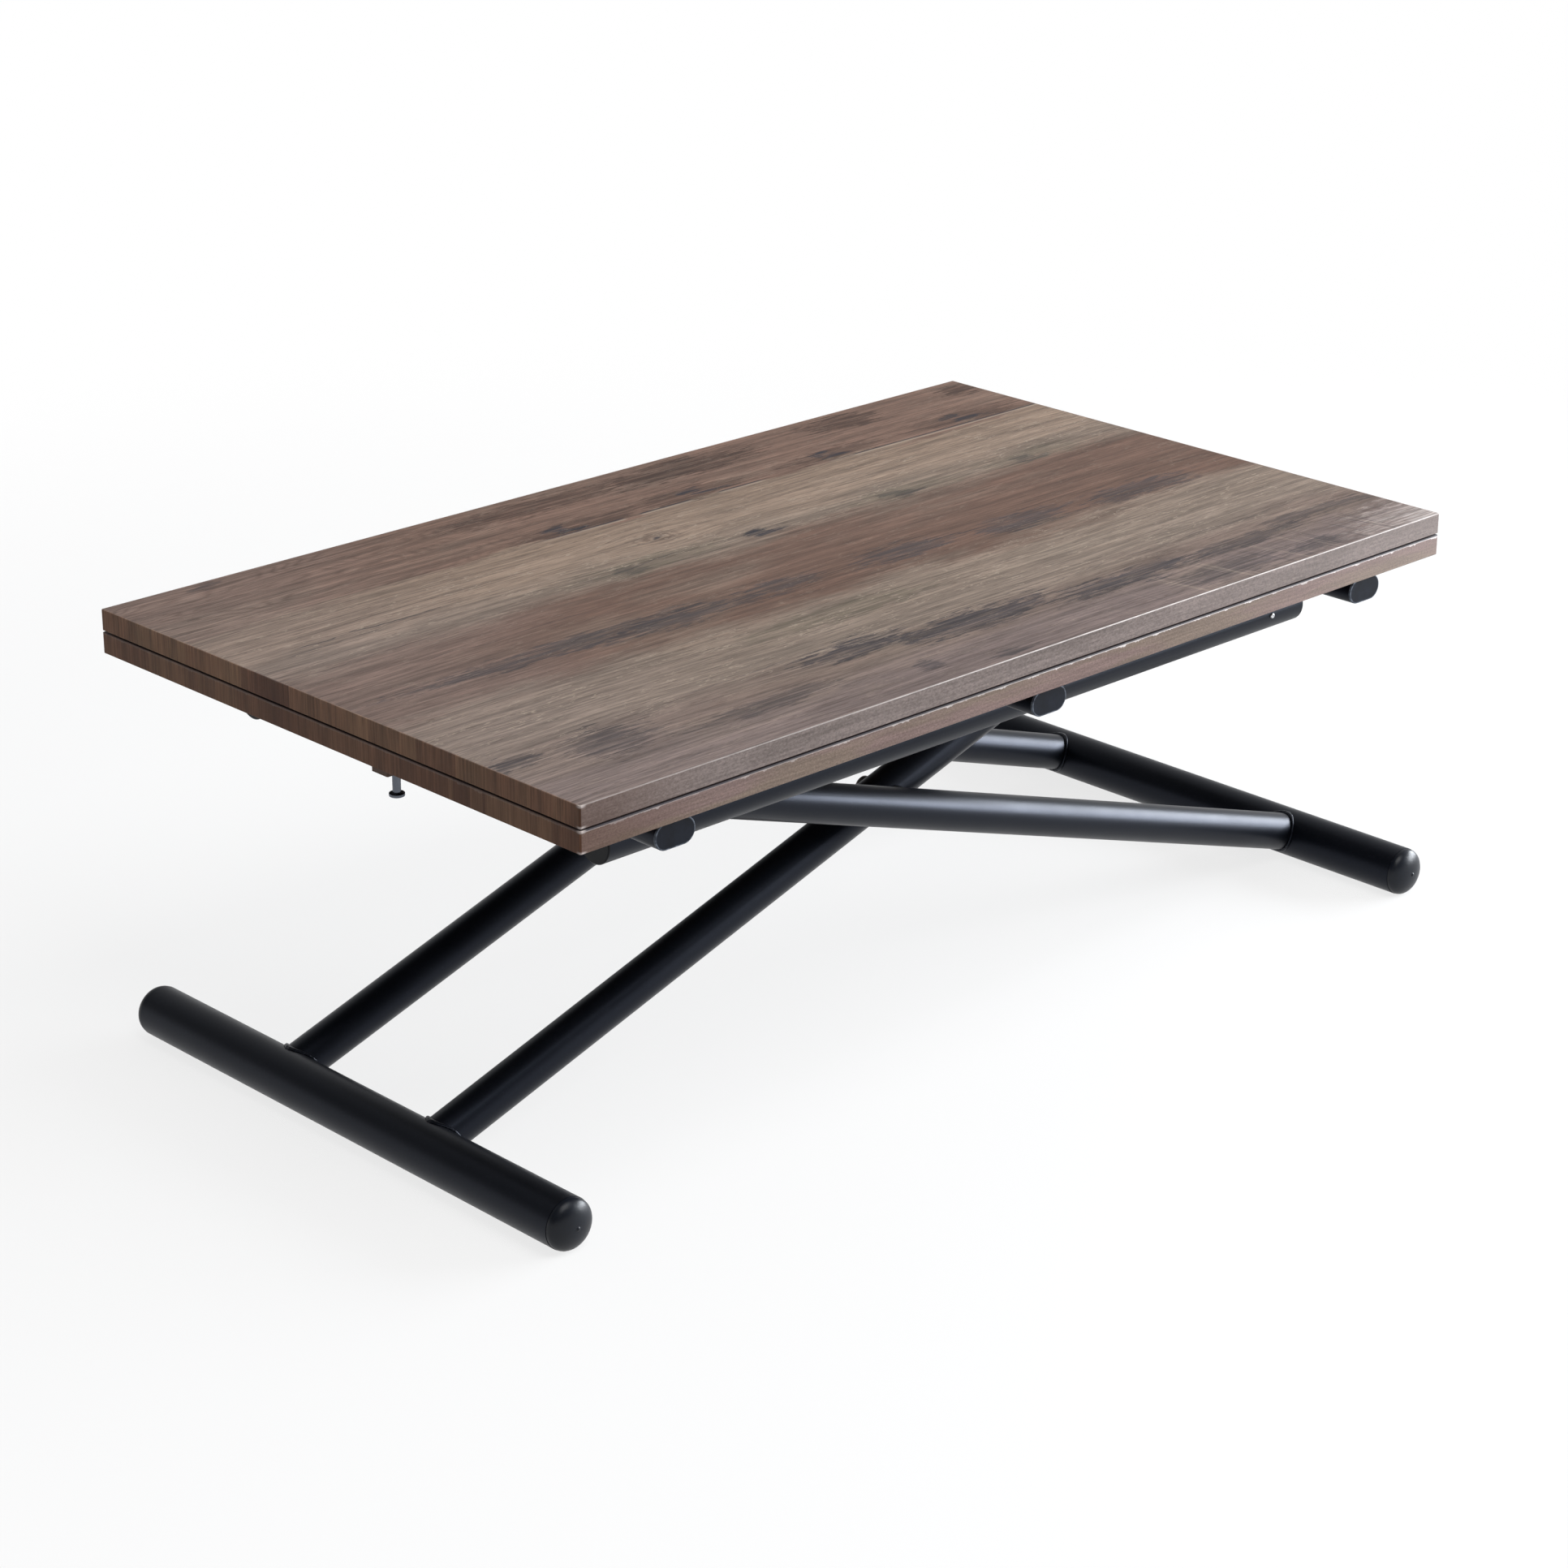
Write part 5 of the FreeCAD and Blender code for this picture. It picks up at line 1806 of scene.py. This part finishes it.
@dataclass
class Studio:
    """The pale floor, the soft light and the camera.

    Attributes:
        floor_size: the floor's length and width.
        floor_drop: how far the floor lies below the feet.
        standing_foot: the foot that the floor keeps under.
        standing_body: the body that carries this foot.
        floor_colour: the floor's colour where it is seen.
        bounce_colour: its colour in the light that it throws back.
        shadow_share: how strongly the table's shadow shows on it.
        shadow_fade: how far from the middle the shadow starts to fade, and where it is gone.
        room_low: how bright the room is low down.
        low_fade: between which heights that fades.
        room_dim: how bright it is above that, on its dim side.
        room_bright: how bright it is on its bright side.
        bright_side: the direction of its bright side.
        side_fade: between which shares of that direction the brightness changes.
        boxes: the lamps.
        camera_place: where the camera stands.
        camera_turn: its turn about the upright axis, in degrees.
        camera_tilt: how far it looks down, in degrees.
        camera_roll: its turn about its own axis, in degrees.
        lens: its focal length in millimetres.
        film: its film's width in millimetres.
    """

    floor_size: float = 60.0
    floor_drop: float = 0.3 * MM
    standing_foot: str = "left_foot_tube"
    standing_body: str = "inner_legs"
    floor_colour: Colour = tone("f7f7f7")
    bounce_colour: Colour = tone("a0a0a4")
    shadow_share: float = 0.22
    shadow_fade: Limits = (0.7, 2.4)
    room_low: float = 1.0
    low_fade: Limits = (0.10, 0.30)
    room_dim: float = 0.12
    room_bright: float = 0.60
    bright_side: tuple[float, float, float] = (0.78, 0.62, 0.0)
    side_fade: Limits = (-0.25, 0.75)
    boxes: tuple[SoftBox, ...] = (
        SoftBox("key_box", (-0.3, -1.6, 3.1), (0.0, 0.0, 0.4), (2.0, 2.0), 55.0),
        SoftBox("right_box", (3.1, -1.3, 0.95), (0.1, -0.1, 0.25), (3.0, 1.1), 235.0, (0.90, 0.945, 1.0)),
    )
    camera_place: tuple[float, float, float] = (-2.3727, -2.4282, 1.5276)
    camera_turn: float = -44.013
    camera_tilt: float = 21.622
    camera_roll: float = 0.201
    lens: float = 87.96
    film: float = 36.0

    def floor_material(self) -> bpy.types.Material:
        """Make the floor near white with a faint shadow, but greyer in the light that it throws back.

        Returns:
            The floor's material.
        """
        sheet = Sheet(bpy.data.materials.new("floor"))
        path = sheet.add("ShaderNodeLightPath")
        seen = sheet.calc("MAXIMUM", path.outputs["Is Camera Ray"], path.outputs["Is Glossy Ray"])
        seen = sheet.calc("MAXIMUM", seen, path.outputs["Is Transmission Ray"])
        matt = sheet.add("ShaderNodeBsdfDiffuse")
        sheet.feed(matt.inputs["Color"], sheet.mix(seen, self.bounce_colour, self.floor_colour))
        clear = sheet.add("ShaderNodeBsdfTransparent")
        away = sheet.distance(sheet.x, sheet.y)
        share = sheet.step(away, self.shadow_fade, 1.0 - self.shadow_share, 1.0)
        blend = sheet.add("ShaderNodeMixShader")
        sheet.feed(blend.inputs[0], sheet.times(seen, share))
        sheet.feed(blend.inputs[1], matt.outputs[0])
        sheet.feed(blend.inputs[2], clear.outputs[0])
        output = sheet.add("ShaderNodeOutputMaterial")
        sheet.feed(output.inputs["Surface"], blend.outputs[0])
        return sheet.owner

    def lay_floor(self) -> None:
        """Lay the floor under the feet."""
        deselect()
        bpy.ops.mesh.primitive_plane_add(size=self.floor_size, location=(0, 0, -self.floor_drop))
        floor = fresh("floor")
        self.keep_under_feet(floor)
        put_material(floor, self.floor_material())

    def keep_under_feet(self, floor: bpy.types.Object) -> None:
        """Keep the floor under the feet at every pose, because the top is the frame's fixed body.

        Args:
            floor: the floor, which takes its height from a marker in the middle of a foot.
        """
        low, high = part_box(self.standing_foot)
        marker = bpy.data.objects.new("foot_marker", None)
        bpy.context.scene.collection.objects.link(marker)
        marker.location = (low + high) / 2
        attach(marker, self.standing_body)
        floor.location.z -= marker.location.z
        link = floor.constraints.new("COPY_LOCATION")
        link.target = marker
        link.use_x = False
        link.use_y = False
        link.use_offset = True

    def light_room(self) -> None:
        """Light the room: white low down like a studio's wall, and above that dimmer on the camera's side."""
        world = bpy.data.worlds.new("studio")
        bpy.context.scene.world = world
        sheet = Sheet(world)
        along = sheet.add("ShaderNodeVectorMath", operation="DOT_PRODUCT")
        sheet.feed(along.inputs[0], sheet.place)
        sheet.feed(along.inputs[1], self.bright_side)
        wall = sheet.step(along.outputs["Value"], self.side_fade, self.room_dim, self.room_bright)
        low = sheet.step(sheet.z, self.low_fade, 1.0, 0.0)
        back = sheet.add("ShaderNodeBackground")
        sheet.feed(back.inputs["Strength"], sheet.scaled(sheet.minus(self.room_low, wall), low, wall))
        back.inputs["Color"].default_value = (1.0, 1.0, 1.0, 1.0)
        output = sheet.add("ShaderNodeOutputWorld")
        sheet.feed(output.inputs["Surface"], back.outputs[0])

    def set_camera(self) -> None:
        """Stand the camera at the photograph's place and angle."""
        view = bpy.data.cameras.new("camera")
        view.sensor_fit = "HORIZONTAL"
        view.sensor_width = self.film
        view.lens = self.lens
        holder = bpy.data.objects.new("camera", view)
        bpy.context.scene.collection.objects.link(holder)
        turn = Matrix.Rotation(math.radians(self.camera_turn), 4, "Z")
        tilt = Matrix.Rotation(math.radians(90.0 - self.camera_tilt), 4, "X")
        roll = Matrix.Rotation(math.radians(self.camera_roll), 4, "Z")
        holder.matrix_world = Matrix.Translation(self.camera_place) @ turn @ tilt @ roll
        bpy.context.scene.camera = holder

    def build(self) -> None:
        """Set up the studio."""
        self.lay_floor()
        self.light_room()
        for box in self.boxes:
            box.build()
        self.set_camera()
        bpy.context.scene.view_settings.view_transform = "Standard"


def main() -> None:
    """Build the table's looks and the studio, in order."""
    logging.basicConfig(level=logging.INFO, format="%(message)s")
    for assembly in (Leaves(), ScissorBase(), LiftGear(), Studio()):
        assembly.build()
        log.info("%s is built", type(assembly).__name__)


if __name__ == "__main__":
    main()
